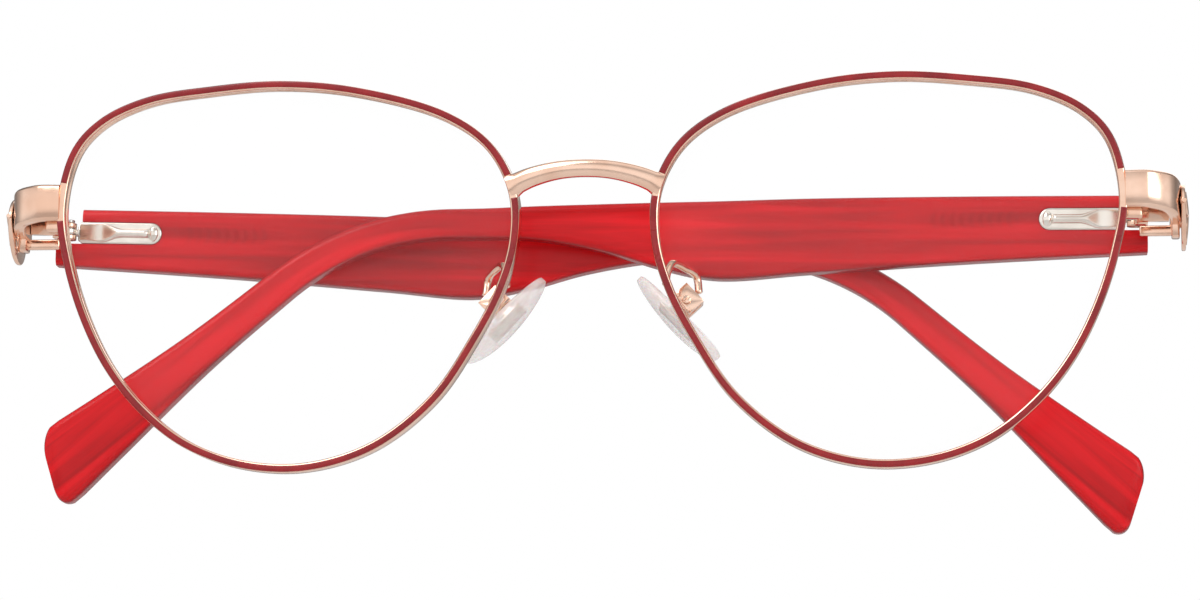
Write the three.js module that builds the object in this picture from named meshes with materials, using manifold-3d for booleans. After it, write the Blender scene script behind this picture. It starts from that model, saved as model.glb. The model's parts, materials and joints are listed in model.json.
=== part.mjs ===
// Metal-front eyeglasses with acetate spring-hinge temples, folded as they lie in their case.
//
// Millimetres, upright as worn: +X is the wearer's left, +Y points back along the open temples,
// +Z is up. The origin is the point between the nose pads where the frame sits on the nose.
// Pieces are drawn for the wearer's left and mirrored for the right.

import * as THREE from 'three';
import * as BufferGeometryUtils from 'three/addons/utils/BufferGeometryUtils.js';
import Module from 'manifold-3d';

const { Vector2, Vector3 } = THREE;

// ---- Driving dimensions ------------------------------------------------------------------

// Lenses and rims. The lens box is measured along the middle of the rim wire.
const LENS_BOX_WIDTH = 53.5;
const LENS_BOX_HEIGHT = 44.65;
const RIM_GAP = 16.4; // between the two lens boxes, over the nose
const LENS_CENTRE_HEIGHT = 4.92; // of the lens box, above the nose rest
const LENS_APEX_DEPTH = -9.3; // foremost plane of the rims, ahead of the nose rest
const FACE_RADIUS = 147; // of the spherical surface that rims and lenses follow
const WRAP_DEG = 2.1; // each rim turns back towards its temple
const RIM_WIRE_WIDTH = 1.0;
const RIM_WIRE_DEPTH = 2.2;
const RIM_GROOVE_DEPTH = 0.35;
const RIM_GROOVE_WIDTH = 0.8;
const LENS_THICKNESS = 1.4;
const LENS_SEAT_GAP = 0.08; // all round between a lens bevel and its groove
const RIM_SPLIT = 0.3; // gap where the rim screw draws the wire's ends together

// Bridge
const BRIDGE_HEIGHT = 2.0; // at its middle
const BRIDGE_END_FLARE = 1.22; // its ends are this much taller
const BRIDGE_THICKNESS = 1.7;
const BRIDGE_RISE = 1.9; // of its arch, over its ends
const BRIDGE_END_HEIGHT = 15.0; // of its ends, above the nose rest
const BRIDGE_BOW = 1.1; // its middle stands ahead of its ends
const BRIDGE_FORWARD = 0.4; // of the middle of the rim wire's depth, at its ends
const BRIDGE_END_GAP = 0.35; // of its square ends from the curving rims

// End pieces: a cast strap from the rim that turns back beside the hinge
const STRAP_HEIGHT = 4.2;
const STRAP_THICKNESS = 1.3;
const STRAP_MID_HEIGHT = 14.1;
const STRAP_CLEARANCE = 1.1; // outside the swing of the temple's corner
const ORNAMENT_LENGTH = 8.8;
const ORNAMENT_HEIGHT = 7.6;
const ORNAMENT_THICKNESS = 0.3; // at its edge, its outer face being domed
const ORNAMENT_BULGE = 0.4;
const ORNAMENT_AHEAD = 0.9; // of its middle, before the end of the strap's return
const ORNAMENT_GAP = 0.12; // off the strap, whose side bows out a little
const ORNAMENT_DROP = 2.3; // of its middle below the strap's

// Hinges. The pin axis is vertical, and sizes behind it are measured with the temple open.
const HINGE_OUTSET = 1.1; // pin axis outside the lens box
const HINGE_SETBACK = 10.52; // pin axis behind the front face of the end piece
const HINGE_HEIGHT = 12.2;
const BARREL_RADIUS = 0.95;
const BARREL_HEIGHT = 2.0; // of the three barrels together
const SLIDER_EYE_HEIGHT = 0.66;
const HINGE_PIN_RADIUS = 0.45;
const HINGE_HEAD_RADIUS = 0.7;
const RUNNING_GAP = 0.06; // between pieces that turn or slide on each other
const SOLDER_GAP = 0.05; // between pieces that are soldered or pressed together

// Spring housing, let into the inner face of the temple
const HOUSING_FRONT = 1.4; // behind the pin axis
const HOUSING_LENGTH = 9.7;
const HOUSING_HEIGHT = 2.6;
const HOUSING_THICKNESS = 1.9;
const SLIDER_THICKNESS = 0.8;
const SPRING_LENGTH = 3.9;
const SPRING_COIL_RADIUS = 0.33;
const SPRING_WIRE_RADIUS = 0.08;
const SPRING_TURNS = 6;
const SPRING_TRAVEL = 1.0;

// Temples
const TEMPLE_FOLD_DEG = { left: 92.5, right: 88 }; // from open to how each one lies folded
const TEMPLE_DROOP_DEG = { left: -0.05, right: 1.55 }; // each hinge axis leans a little
const TEMPLE_BEND_START = 79.5; // behind the pin axis, where the earpiece starts to turn down
const TEMPLE_BEND_RADIUS = 32;
const TEMPLE_BEND_DEG = 39;
const TEMPLE_TIP_LENGTH = 34.6; // straight earpiece after the bend
const TEMPLE_THICKNESS = 3.6;
const TEMPLE_INSET = 0.3; // inner face outside the pin axis
const TEMPLE_EDGE_RADIUS = 0.75;
const TEMPLE_LIP = 1.5; // the front end's lower corner reaches ahead of the pin axis
const CORE_WIDTH = 1.5;
const CORE_THICKNESS = 0.9;
const CORE_GAP = 0.06;
const CORE_END_MARGIN = 9; // acetate left behind the wire's end

// Nose pads
const PAD_LENGTH = 13.2;
const PAD_WIDTH = 6.6;
const PAD_THICKNESS = 2.0;
const PAD_CENTRE = new Vector3(9.9, 0.2, 0.2);
const PAD_LEAN_DEG = 44; // in front view, from upright
const PAD_SPLAY_DEG = 10; // turned back to face the side of the nose
const PAD_BOX_SIZE = 2.9;
const PAD_BOX_DEPTH = 1.9;
const PAD_BOX_RISE = 0.8; // above the pad's middle, along the pad
const PAD_WALL = 0.4;
const PAD_INSERT_THICKNESS = 0.4;
const PAD_INSERT_WIDTH = 3.4;
const PAD_INSERT_LENGTH = 5.1;
const PAD_INSERT_DEPTH = -0.1; // from the pad's middle plane, towards the nose
const PAD_LUG_WIDTH = 1.0;
const PAD_LUG_HEIGHT = 1.6;
const PAD_HEAD_RADIUS = 0.5;
const PAD_HEAD_HEIGHT = 0.3;
const PAD_BOX_GAP = 0.45; // between the box and the pad's back
const PAD_ARM_RADIUS = 0.45;
const PAD_SCREW_RADIUS = 0.3;

// ---- Finishes ----------------------------------------------------------------------------

function finish(color, roughness, metalness, extra = {}) {
  return new THREE.MeshStandardMaterial({ color, roughness, metalness, ...extra });
}

const ROSE_GOLD = finish(0xe4bda6, 0.18, 1);
const ENAMELLED = finish(0xa0363a, 0.3, 0.4);
const NICKEL = finish(0xd6cfc4, 0.22, 1);
const STEEL = finish(0xb9b7b4, 0.3, 1);
const RED_ACETATE = finish(0xcf2029, 0.22, 0);
const CLEAR_LENS = finish(0xf4f8fa, 0.04, 0, { transparent: true, opacity: 0.12 });
const SILICONE = finish(0xefe4e0, 0.3, 0, { transparent: true, opacity: 0.6 });

// ---- Geometry helpers --------------------------------------------------------------------

const rad = THREE.MathUtils.degToRad;

// Signed volume of an indexed geometry, negative when its faces point inwards.
function signedVolume(geometry) {
  const p = geometry.getAttribute('position');
  const [a, b, c] = [new Vector3(), new Vector3(), new Vector3()];
  let volume = 0;
  for (let i = 0; i < geometry.index.count; i += 3) {
    a.fromBufferAttribute(p, geometry.index.getX(i));
    b.fromBufferAttribute(p, geometry.index.getX(i + 1));
    c.fromBufferAttribute(p, geometry.index.getX(i + 2));
    volume += a.dot(b.cross(c)) / 6;
  }
  return volume;
}

// Merges shared vertices and turns every face outwards.
function tidy(geometry) {
  geometry.deleteAttribute('normal');
  geometry.deleteAttribute('uv');
  const merged = BufferGeometryUtils.mergeVertices(geometry, 1e-5);
  if (signedVolume(merged) < 0) {
    const index = merged.index;
    for (let i = 0; i < index.count; i += 3) {
      const first = index.getX(i);
      index.setX(i, index.getX(i + 1));
      index.setX(i + 1, first);
    }
  }
  return merged;
}

// Skins a row of rings that all have the same number of points. A closed row is a loop;
// an open one is capped by a fan, so its end rings are convex.
function loft(rings, closed = false) {
  const sides = rings[0].length;
  const index = [];
  const spans = closed ? rings.length : rings.length - 1;
  for (let i = 0; i < spans; i++) {
    const here = i * sides;
    const next = ((i + 1) % rings.length) * sides;
    for (let j = 0; j < sides; j++) {
      const k = (j + 1) % sides;
      index.push(here + j, next + j, next + k, here + j, next + k, here + k);
    }
  }
  if (!closed) {
    const last = (rings.length - 1) * sides;
    for (let j = 1; j < sides - 1; j++) {
      index.push(0, j, j + 1, last, last + j + 1, last + j);
    }
  }
  const geometry = new THREE.BufferGeometry().setFromPoints(rings.flat());
  geometry.setIndex(index);
  return tidy(geometry);
}

// Sweeps a flat section along a curve. `up` is the direction that the section's second
// coordinate follows; the first runs across both it and the curve.
function sweep(curve, section, steps, up = new Vector3(0, 0, 1)) {
  const rings = [];
  for (let i = 0; i <= steps; i++) {
    const t = i / steps;
    const tangent = curve.getTangentAt(t);
    const across = new Vector3().crossVectors(tangent, up).normalize();
    const above = new Vector3().crossVectors(across, tangent);
    const centre = curve.getPointAt(t);
    rings.push(section(t).map((p) => centre.clone().addScaledVector(across, p.x).addScaledVector(above, p.y)));
  }
  return loft(rings);
}

// A rectangle with cut corners, as a list of points round the middle of the section.
function chamferedBox(width, height, chamfer) {
  const [w, h, c] = [width / 2, height / 2, chamfer];
  return [
    [w, h - c], [w - c, h], [c - w, h], [-w, h - c],
    [-w, c - h], [c - w, -h], [w - c, -h], [w, c - h],
  ].map(([x, y]) => new Vector2(x, y));
}

function circle(radius, sides) {
  return Array.from({ length: sides }, (_, i) => {
    const angle = (2 * Math.PI * (i + 0.5)) / sides;
    return new Vector2(radius * Math.cos(angle), radius * Math.sin(angle));
  });
}

function box(x0, x1, y0, y1, z0, z1) {
  const geometry = new THREE.BoxGeometry(x1 - x0, y1 - y0, z1 - z0);
  geometry.translate((x0 + x1) / 2, (y0 + y1) / 2, (z0 + z1) / 2);
  return tidy(geometry);
}

// A cylinder along Z from z0 to z1.
function post(x, y, z0, z1, radius, sides = 18) {
  const geometry = new THREE.CylinderGeometry(radius, radius, z1 - z0, sides);
  geometry.rotateX(Math.PI / 2);
  geometry.translate(x, y, (z0 + z1) / 2);
  return tidy(geometry);
}

const wasm = await Module();
wasm.setup();

function toSolid(geometry) {
  const vertProperties = new Float32Array(geometry.getAttribute('position').array);
  const triVerts = new Uint32Array(geometry.index.array);
  return new wasm.Manifold(new wasm.Mesh({ numProp: 3, vertProperties, triVerts }));
}

function toGeometry(solid) {
  const mesh = solid.getMesh();
  const geometry = new THREE.BufferGeometry();
  geometry.setAttribute('position', new THREE.BufferAttribute(new Float32Array(mesh.vertProperties), 3));
  geometry.setIndex(new THREE.BufferAttribute(new Uint32Array(mesh.triVerts), 1));
  return geometry;
}

// Joins the first list of geometries and cuts the second list out of them.
function shape(joined, cut = []) {
  const whole = joined.map(toSolid).reduce((a, b) => a.add(b));
  return toGeometry(cut.map(toSolid).reduce((a, b) => a.subtract(b), whole));
}

// Lays a drawing's length along Y and its height along Z, with its thickness outwards.
const SIDE_VIEW = new THREE.Matrix4().makeBasis(
  new Vector3(0, 1, 0), new Vector3(0, 0, 1), new Vector3(1, 0, 0),
);

// ---- Object tree -------------------------------------------------------------------------

const glasses = new THREE.Group();

const SIDES = [
  { name: 'left', sign: 1 },
  { name: 'right', sign: -1 },
];

// Adds a piece to a group; pieces of the wearer's right are the left ones mirrored.
function add(group, name, geometry, material, sign = 1) {
  const placed = geometry.clone();
  if (sign < 0) placed.scale(-1, 1, 1);
  const mesh = new THREE.Mesh(tidy(placed), material);
  mesh.name = name;
  group.add(mesh);
}

// ---- Rims and lenses ---------------------------------------------------------------------

// The lens shape, from the outer top corner round over the top to the nose and back under,
// in half widths and half heights of the lens box: a wide panto with flat outer shoulders.
const LENS_SHAPE = [
  [1.0, 0.378], [0.942, 0.68], [0.824, 0.831], [0.62, 0.935], [0.34, 0.98], [0.02, 1.0],
  [-0.318, 0.956], [-0.7, 0.822], [-0.89, 0.658], [-0.99, 0.427], [-0.998, 0.169],
  [-0.942, -0.08], [-0.83, -0.345], [-0.654, -0.653], [-0.393, -0.893], [-0.099, -0.996],
  [0.183, -0.976], [0.426, -0.867], [0.617, -0.689], [0.763, -0.476], [0.875, -0.222],
  [0.961, 0.084],
];
const RIM_STEPS = 68;
const RIM_JOINT_HEIGHT = STRAP_MID_HEIGHT - 0.35 * STRAP_HEIGHT - LENS_CENTRE_HEIGHT;

const lensOutline = new THREE.CatmullRomCurve3(
  LENS_SHAPE.map(([u, v]) => new Vector3((u * LENS_BOX_WIDTH) / 2, 0, (v * LENS_BOX_HEIGHT) / 2)),
  true,
);

// Depth of the curved face behind its foremost plane.
function faceDepth(x, z) {
  return (x * x + z * z) / (2 * FACE_RADIUS);
}

// The point of the rim's section at curve fraction t, `out` across the wire and `back` from
// its front face.
function rimPoint(t, out, back) {
  const centre = lensOutline.getPointAt(t);
  const tangent = lensOutline.getTangentAt(t);
  const x = centre.x + out * tangent.z;
  const z = centre.z - out * tangent.x;
  return new Vector3(x, faceDepth(centre.x, centre.z) + back, z);
}

// Runs the section (a list of [out, back]) round the lens shape.
function rimLoop(section) {
  const rings = [];
  for (let i = 0; i < RIM_STEPS; i++) {
    rings.push(section.map(([out, back]) => rimPoint(i / RIM_STEPS, out, back)));
  }
  return rings;
}

// Rounds a rim wire and leaves a V groove round its inside.
function rimWire() {
  const half = RIM_WIRE_WIDTH / 2;
  const edge = 0.16;
  const mid = RIM_WIRE_DEPTH / 2;
  const groove = RIM_GROOVE_WIDTH / 2;
  return loft(rimLoop([
    [half - edge, 0], [half, edge], [half, RIM_WIRE_DEPTH - edge], [half - edge, RIM_WIRE_DEPTH],
    [edge - half, RIM_WIRE_DEPTH], [-half, RIM_WIRE_DEPTH - edge], [-half, mid + groove],
    [RIM_GROOVE_DEPTH - half, mid], [-half, mid - groove], [-half, edge], [edge - half, 0],
  ]), true);
}

// The rim crosses the outer side of the lens box at this place.
function outerRimX(height) {
  let best = new Vector3();
  for (let i = 0; i < 4 * RIM_STEPS; i++) {
    const p = lensOutline.getPointAt(i / (4 * RIM_STEPS));
    if (p.x > 0 && Math.abs(p.z - height) < Math.abs(best.z - height)) best = p;
  }
  return best.x;
}

const RIM_LOCK_X = outerRimX(RIM_JOINT_HEIGHT) + RIM_WIRE_WIDTH / 2;
const RIM_LOCK_SIZE = 1.7;
const RIM_LOCK_BACK = faceDepth(RIM_LOCK_X, RIM_JOINT_HEIGHT) + STRAP_THICKNESS + 0.25;
const RIM_SCREW_RADIUS = 0.4;

function rimWithLock() {
  const x0 = RIM_LOCK_X - 0.3;
  const x1 = RIM_LOCK_X + RIM_LOCK_SIZE;
  const [y0, y1] = [RIM_LOCK_BACK, RIM_LOCK_BACK + RIM_LOCK_SIZE];
  const [low, high] = [RIM_JOINT_HEIGHT - RIM_LOCK_SIZE, RIM_JOINT_HEIGHT + RIM_LOCK_SIZE];
  const screwX = (RIM_LOCK_X + x1) / 2;
  const screwY = (y0 + y1) / 2;
  const reach = 3 * RIM_WIRE_WIDTH;
  return shape(
    [rimWire(), box(x0, x1, y0, y1, low, high)],
    [
      box(RIM_LOCK_X - reach, x1 + 1, y0 - reach, y1 + 1,
        RIM_JOINT_HEIGHT - RIM_SPLIT / 2, RIM_JOINT_HEIGHT + RIM_SPLIT / 2),
      post(screwX, screwY, low - 1, high + 1, RIM_SCREW_RADIUS + RUNNING_GAP),
    ],
  );
}

// A cheese-head screw along Z with a driver slot, its head on top.
function screw(x, y, bottom, seat, radius, headRadius, headHeight) {
  const slot = headRadius * 0.28;
  return shape(
    [post(x, y, bottom, seat + 0.1, radius), post(x, y, seat, seat + headHeight, headRadius)],
    [box(x - slot / 2, x + slot / 2, y - 2 * headRadius, y + 2 * headRadius,
      seat + headHeight * 0.5, seat + 2 * headHeight)],
  );
}

function rimScrew() {
  const x = RIM_LOCK_X + RIM_LOCK_SIZE / 2;
  const y = RIM_LOCK_BACK + RIM_LOCK_SIZE / 2;
  const bottom = RIM_JOINT_HEIGHT - RIM_LOCK_SIZE + 0.1;
  const seat = RIM_JOINT_HEIGHT + RIM_LOCK_SIZE + SOLDER_GAP;
  return screw(x, y, bottom, seat, RIM_SCREW_RADIUS, RIM_SCREW_RADIUS * 1.8, 0.6);
}

// A thin meniscus whose edge is bevelled to a ridge that seats in the groove.
function lensBody() {
  const wall = -RIM_WIRE_WIDTH / 2 - LENS_SEAT_GAP;
  const ridge = wall + RIM_GROOVE_DEPTH;
  const mid = RIM_WIRE_DEPTH / 2;
  const bevel = RIM_GROOVE_WIDTH / 2 - LENS_SEAT_GAP;
  const face = LENS_THICKNESS / 2;
  const edge = rimLoop([
    [wall, mid - face], [wall, mid - bevel], [ridge, mid], [wall, mid + bevel], [wall, mid + face],
  ]);
  const shrink = [0.6, 0.15];
  const inward = (p, scale, back) => {
    const [x, z] = [p.x * scale, p.z * scale];
    return new Vector3(x, faceDepth(x, z) + back, z);
  };
  const rings = edge.map((ring) => [
    ...[...shrink].reverse().map((s) => inward(ring[0], s, mid - face)),
    ...ring,
    ...shrink.map((s) => inward(ring[4], s, mid + face)),
  ]);
  return discFrom(rings);
}

// Skins rings that all start on one small polygon and end on another, and closes both.
function discFrom(rings) {
  const sides = rings[0].length;
  const count = rings.length;
  const index = [];
  for (let i = 0; i < count; i++) {
    const here = i * sides;
    const next = ((i + 1) % count) * sides;
    for (let j = 0; j < sides - 1; j++) {
      index.push(here + j, next + j, next + j + 1, here + j, next + j + 1, here + j + 1);
    }
  }
  const points = rings.flat();
  for (const column of [0, sides - 1]) {
    const centre = new Vector3();
    rings.forEach((ring) => centre.addScaledVector(ring[column], 1 / count));
    centre.y = rings[0][column].y;
    points.push(centre);
    for (let i = 0; i < count; i++) {
      const [here, next] = [i * sides + column, ((i + 1) % count) * sides + column];
      index.push(...(column === 0 ? [points.length - 1, next, here] : [points.length - 1, here, next]));
    }
  }
  const geometry = new THREE.BufferGeometry().setFromPoints(points);
  geometry.setIndex(index);
  return tidy(geometry);
}

const LENS_CENTRE_X = (RIM_GAP + LENS_BOX_WIDTH) / 2;

function addLensAndRim({ name, sign }) {
  const eye = new THREE.Group();
  eye.position.set(sign * LENS_CENTRE_X, LENS_APEX_DEPTH, LENS_CENTRE_HEIGHT);
  eye.rotation.z = sign * rad(WRAP_DEG);
  add(eye, `${name}_rim`, rimWithLock(), ENAMELLED, sign);
  add(eye, `${name}_rim_screw`, rimScrew(), STEEL, sign);
  add(eye, `${name}_lens`, lensBody(), CLEAR_LENS, sign);
  glasses.add(eye);
}

SIDES.forEach(addLensAndRim);

// A point of the left rim's wire in the frame of the whole object.
function onRim(t, out, back) {
  return rimPoint(t, out, back)
    .applyAxisAngle(new Vector3(0, 0, 1), rad(WRAP_DEG))
    .add(new Vector3(LENS_CENTRE_X, LENS_APEX_DEPTH, LENS_CENTRE_HEIGHT));
}

// The curve fraction where the rim's nose side (x below the box centre) has this height.
function noseFraction(height) {
  let best = 0;
  let error = Infinity;
  for (let i = 0; i < 8 * RIM_STEPS; i++) {
    const p = lensOutline.getPointAt(i / (8 * RIM_STEPS));
    const miss = Math.abs(p.z + LENS_CENTRE_HEIGHT - height);
    if (p.x < 0 && miss < error) [best, error] = [i / (8 * RIM_STEPS), miss];
  }
  return best;
}

// ---- Bridge ------------------------------------------------------------------------------

function bridge() {
  const end = onRim(noseFraction(BRIDGE_END_HEIGHT), RIM_WIRE_WIDTH / 2, RIM_WIRE_DEPTH / 2);
  const reach = end.x - BRIDGE_END_GAP;
  const path = new THREE.CatmullRomCurve3([-1, -0.72, -0.36, 0, 0.36, 0.72, 1].map((u) => {
    const arch = 1 - Math.abs(u) ** 2.2;
    return new Vector3(u * reach, end.y - BRIDGE_FORWARD - BRIDGE_BOW * arch, BRIDGE_END_HEIGHT + BRIDGE_RISE * arch);
  }));
  const height = (t) => BRIDGE_HEIGHT * (1 + (BRIDGE_END_FLARE - 1) * (2 * t - 1) ** 2);
  return sweep(path, (t) => chamferedBox(BRIDGE_THICKNESS, height(t), 0.42), 26);
}

add(glasses, 'bridge', bridge(), ROSE_GOLD);

// ---- End pieces --------------------------------------------------------------------------

const STRAP_START = onRim(0, RIM_WIRE_WIDTH / 2 + SOLDER_GAP, 0);
const HINGE_X = RIM_GAP / 2 + LENS_BOX_WIDTH + HINGE_OUTSET;
const HINGE_Y = STRAP_START.y + HINGE_SETBACK;
const TEMPLE_OUTER = TEMPLE_INSET + TEMPLE_THICKNESS; // from the pin axis
const CORNER_SWING = Math.hypot(TEMPLE_OUTER, TEMPLE_LIP); // of the temple's front outer corner
const STRAP_OUTER_X = HINGE_X + CORNER_SWING + STRAP_CLEARANCE;
const RETURN_END_Y = HINGE_Y - TEMPLE_LIP - 0.3; // the temple butts here when open

// The strap leaves the rim sideways, rounds the corner and runs back beside the hinge.
function strap() {
  const startX = STRAP_START.x;
  const frontY = STRAP_START.y + STRAP_THICKNESS / 2 - 0.15;
  const outerX = STRAP_OUTER_X - STRAP_THICKNESS / 2;
  const corner = 2.6;
  const path = new THREE.CatmullRomCurve3([
    new Vector3(startX, frontY, STRAP_MID_HEIGHT),
    new Vector3(startX + 1.8, frontY + 0.05, STRAP_MID_HEIGHT),
    new Vector3(outerX - corner, frontY + 0.4, STRAP_MID_HEIGHT - 0.05),
    new Vector3(outerX - corner * 0.3, frontY + corner * 0.7, STRAP_MID_HEIGHT - 0.3),
    new Vector3(outerX, frontY + corner * 1.8, STRAP_MID_HEIGHT - 0.9),
    new Vector3(outerX, RETURN_END_Y, STRAP_MID_HEIGHT - 1.3),
  ]);
  const height = (t) => STRAP_HEIGHT * (1 + 0.1 * t);
  return sweep(path, (t) => chamferedBox(STRAP_THICKNESS, height(t), 0.38), 18);
}

// The flange under the hinge leaf that the temple's front end meets when it is open.
function stopFlange() {
  const top = HINGE_HEIGHT - BARREL_HEIGHT / 2 - 0.25;
  const inner = HINGE_X + 0.5;
  return [
    box(inner, STRAP_OUTER_X - 0.3, RETURN_END_Y - 0.9, RETURN_END_Y, top - 1.2, top),
    box(STRAP_OUTER_X - 1.1, STRAP_OUTER_X - 0.15, RETURN_END_Y - 2.4, RETURN_END_Y, top - 1.6,
      STRAP_MID_HEIGHT),
  ];
}

// Openwork leaf on the outer side of the end piece: a pointed oval frame with a curved vein
// and three eyes, domed outwards.
function leafOrnament() {
  const [l, h] = [ORNAMENT_LENGTH / 2, ORNAMENT_HEIGHT / 2];
  const leaf = new THREE.Shape();
  leaf.moveTo(-l, 0.35 * h);
  leaf.bezierCurveTo(-0.8 * l, 1.05 * h, 0.1 * l, 1.2 * h, 0.75 * l, 0.75 * h);
  leaf.bezierCurveTo(1.05 * l, 0.4 * h, 1.05 * l, -0.3 * h, 0.75 * l, -0.7 * h);
  leaf.bezierCurveTo(0.4 * l, -1.15 * h, -0.2 * l, -1.05 * h, -0.5 * l, -0.6 * h);
  leaf.bezierCurveTo(-0.75 * l, -0.3 * h, -0.95 * l, 0, -l, 0.35 * h);
  const cast = new THREE.ExtrudeGeometry(leaf, {
    depth: ORNAMENT_THICKNESS, bevelEnabled: false, curveSegments: 7,
  });
  const eye = (x, y, rx, ry, turn) => {
    const hole = new THREE.CylinderGeometry(1, 1, 3 * ORNAMENT_THICKNESS, 14);
    hole.rotateX(Math.PI / 2);
    hole.scale(rx * l, ry * h, 1);
    hole.rotateZ(rad(turn));
    hole.translate(x * l, y * h, 0);
    return tidy(hole);
  };
  const plate = shape([tidy(cast)], [
    eye(-0.42, 0.38, 0.26, 0.2, -20),
    eye(0.28, 0.52, 0.24, 0.18, 15),
    eye(-0.12, -0.38, 0.2, 0.26, 30),
    eye(0.5, -0.22, 0.16, 0.3, -10),
  ]);
  plate.applyMatrix4(SIDE_VIEW);
  const p = plate.getAttribute('position');
  for (let i = 0; i < p.count; i++) {
    const [u, v] = [p.getY(i) / l, p.getZ(i) / h];
    const outward = p.getX(i) / ORNAMENT_THICKNESS; // 0 on the flat inner face, 1 on the domed one
    p.setX(i, p.getX(i) + outward * ORNAMENT_BULGE * Math.max(0, 1 - 0.6 * u * u - 0.6 * v * v));
  }
  plate.translate(STRAP_OUTER_X + ORNAMENT_GAP, RETURN_END_Y - ORNAMENT_AHEAD, STRAP_MID_HEIGHT - ORNAMENT_DROP);
  return tidy(plate);
}

function addEndPiece({ name, sign }) {
  add(glasses, `${name}_end_piece`, shape([strap(), ...stopFlange()]), ROSE_GOLD, sign);
  add(glasses, `${name}_side_ornament`, leafOrnament(), ROSE_GOLD, sign);
}

SIDES.forEach(addEndPiece);

// ---- Hinges ------------------------------------------------------------------------------
// Drawn about the pin axis: x outwards, y back along the open temple, z up.

const LEAF_ARM_BACK = 0.3; // how far behind the pin the leaf's arms reach
const WEB_START = LEAF_ARM_BACK + RUNNING_GAP; // the slider's web stays behind them

// The front leaf: two barrels on arms from a plate soldered inside the end piece's return.
function hingeLeaf() {
  const half = BARREL_HEIGHT / 2;
  const eye = SLIDER_EYE_HEIGHT / 2 + RUNNING_GAP;
  const plateX = STRAP_OUTER_X - STRAP_THICKNESS - SOLDER_GAP - HINGE_X;
  const plateY = RETURN_END_Y - HINGE_Y;
  const plateTop = STRAP_MID_HEIGHT - HINGE_HEIGHT + STRAP_HEIGHT * 0.3;
  return shape(
    [
      box(0.6, plateX, plateY - 1.0, plateY, -half + 0.25, plateTop),
      box(0.05, BARREL_RADIUS + 0.55, plateY - 0.1, LEAF_ARM_BACK, -half, half),
      post(0, 0, -half, half, BARREL_RADIUS),
    ],
    [
      post(0, 0, -half - 1, half + 1, HINGE_PIN_RADIUS + RUNNING_GAP),
      box(-2, BARREL_RADIUS + 0.1, -BARREL_RADIUS - 0.12, 3, -eye, eye),
    ],
  );
}

function hingeScrew() {
  const seat = BARREL_HEIGHT / 2 + SOLDER_GAP;
  return screw(0, 0, -BARREL_HEIGHT / 2 + 0.05, seat, HINGE_PIN_RADIUS, HINGE_HEAD_RADIUS, 0.35);
}

const HOUSING_X = TEMPLE_INSET + HOUSING_THICKNESS / 2; // middle of the housing's thickness
const HOUSING_END = HOUSING_FRONT + HOUSING_LENGTH;
const CHANNEL_HALF = SLIDER_THICKNESS / 2 + RUNNING_GAP;
const SLIDER_HALF_HEIGHT = 0.7;
const ROD_RADIUS = 0.17;
const STOP_FRONT = HOUSING_FRONT + 3.4;
const STOP_LENGTH = 0.6;
const SPRING_START = STOP_FRONT + STOP_LENGTH + SOLDER_GAP;
const NUT_FRONT = SPRING_START + SPRING_LENGTH + SOLDER_GAP;
const NUT_LENGTH = 0.5;
const CHANNEL_END = NUT_FRONT + NUT_LENGTH + 0.3;

// The slider: an eye on the pin, a head, a flat bar, and the thin rod that carries the spring.
function springSlider() {
  const eye = SLIDER_EYE_HEIGHT / 2;
  const t = SLIDER_THICKNESS / 2;
  const headHalf = 0.95;
  const barEnd = STOP_FRONT - RUNNING_GAP;
  return shape(
    [
      post(0, 0, -eye, eye, BARREL_RADIUS),
      box(0, HOUSING_X + t, WEB_START, 1.3, -eye, eye),
      box(TEMPLE_INSET + 0.1, HOUSING_X + t, BARREL_RADIUS + 0.12, HOUSING_FRONT - RUNNING_GAP,
        -headHalf, headHalf),
      box(HOUSING_X - t, HOUSING_X + t, 1.2, barEnd, -SLIDER_HALF_HEIGHT, SLIDER_HALF_HEIGHT),
      box(HOUSING_X - ROD_RADIUS, HOUSING_X + ROD_RADIUS, barEnd - 0.1, NUT_FRONT - SOLDER_GAP,
        -ROD_RADIUS, ROD_RADIUS),
    ],
    [post(0, 0, -2, 2, HINGE_PIN_RADIUS + RUNNING_GAP)],
  );
}

// The nut on the rod's end; it squeezes the spring against the stop as the slider draws out.
function springNut() {
  const t = SLIDER_THICKNESS / 2;
  return box(HOUSING_X - t, HOUSING_X + t, NUT_FRONT, NUT_FRONT + NUT_LENGTH,
    -SLIDER_HALF_HEIGHT, SLIDER_HALF_HEIGHT);
}

// A stadium-ended case, flat at the front and waisted to a rib over the spring.
function hingeHousing() {
  const r = HOUSING_HEIGHT / 2;
  const outline = new THREE.Shape();
  outline.moveTo(HOUSING_FRONT, -r);
  outline.lineTo(HOUSING_END - r, -r);
  outline.absarc(HOUSING_END - r, 0, r, -Math.PI / 2, Math.PI / 2, false);
  outline.lineTo(HOUSING_FRONT, r);
  outline.closePath();
  const block = new THREE.ExtrudeGeometry(outline, {
    depth: HOUSING_THICKNESS, bevelEnabled: false, curveSegments: 12,
  });
  block.applyMatrix4(SIDE_VIEW);
  block.translate(TEMPLE_INSET, 0, 0);
  return shape(
    [tidy(block)],
    [
      box(HOUSING_X - CHANNEL_HALF, HOUSING_X + CHANNEL_HALF, HOUSING_FRONT - 1, CHANNEL_END,
        -SLIDER_HALF_HEIGHT - RUNNING_GAP, SLIDER_HALF_HEIGHT + RUNNING_GAP),
      // a cross slot for the stop, from the side that the acetate covers
      box(HOUSING_X - CHANNEL_HALF, TEMPLE_INSET + HOUSING_THICKNESS + 1,
        STOP_FRONT - SOLDER_GAP, STOP_FRONT + STOP_LENGTH + SOLDER_GAP,
        -SLIDER_HALF_HEIGHT - RUNNING_GAP, SLIDER_HALF_HEIGHT + RUNNING_GAP),
    ],
  );
}

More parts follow.
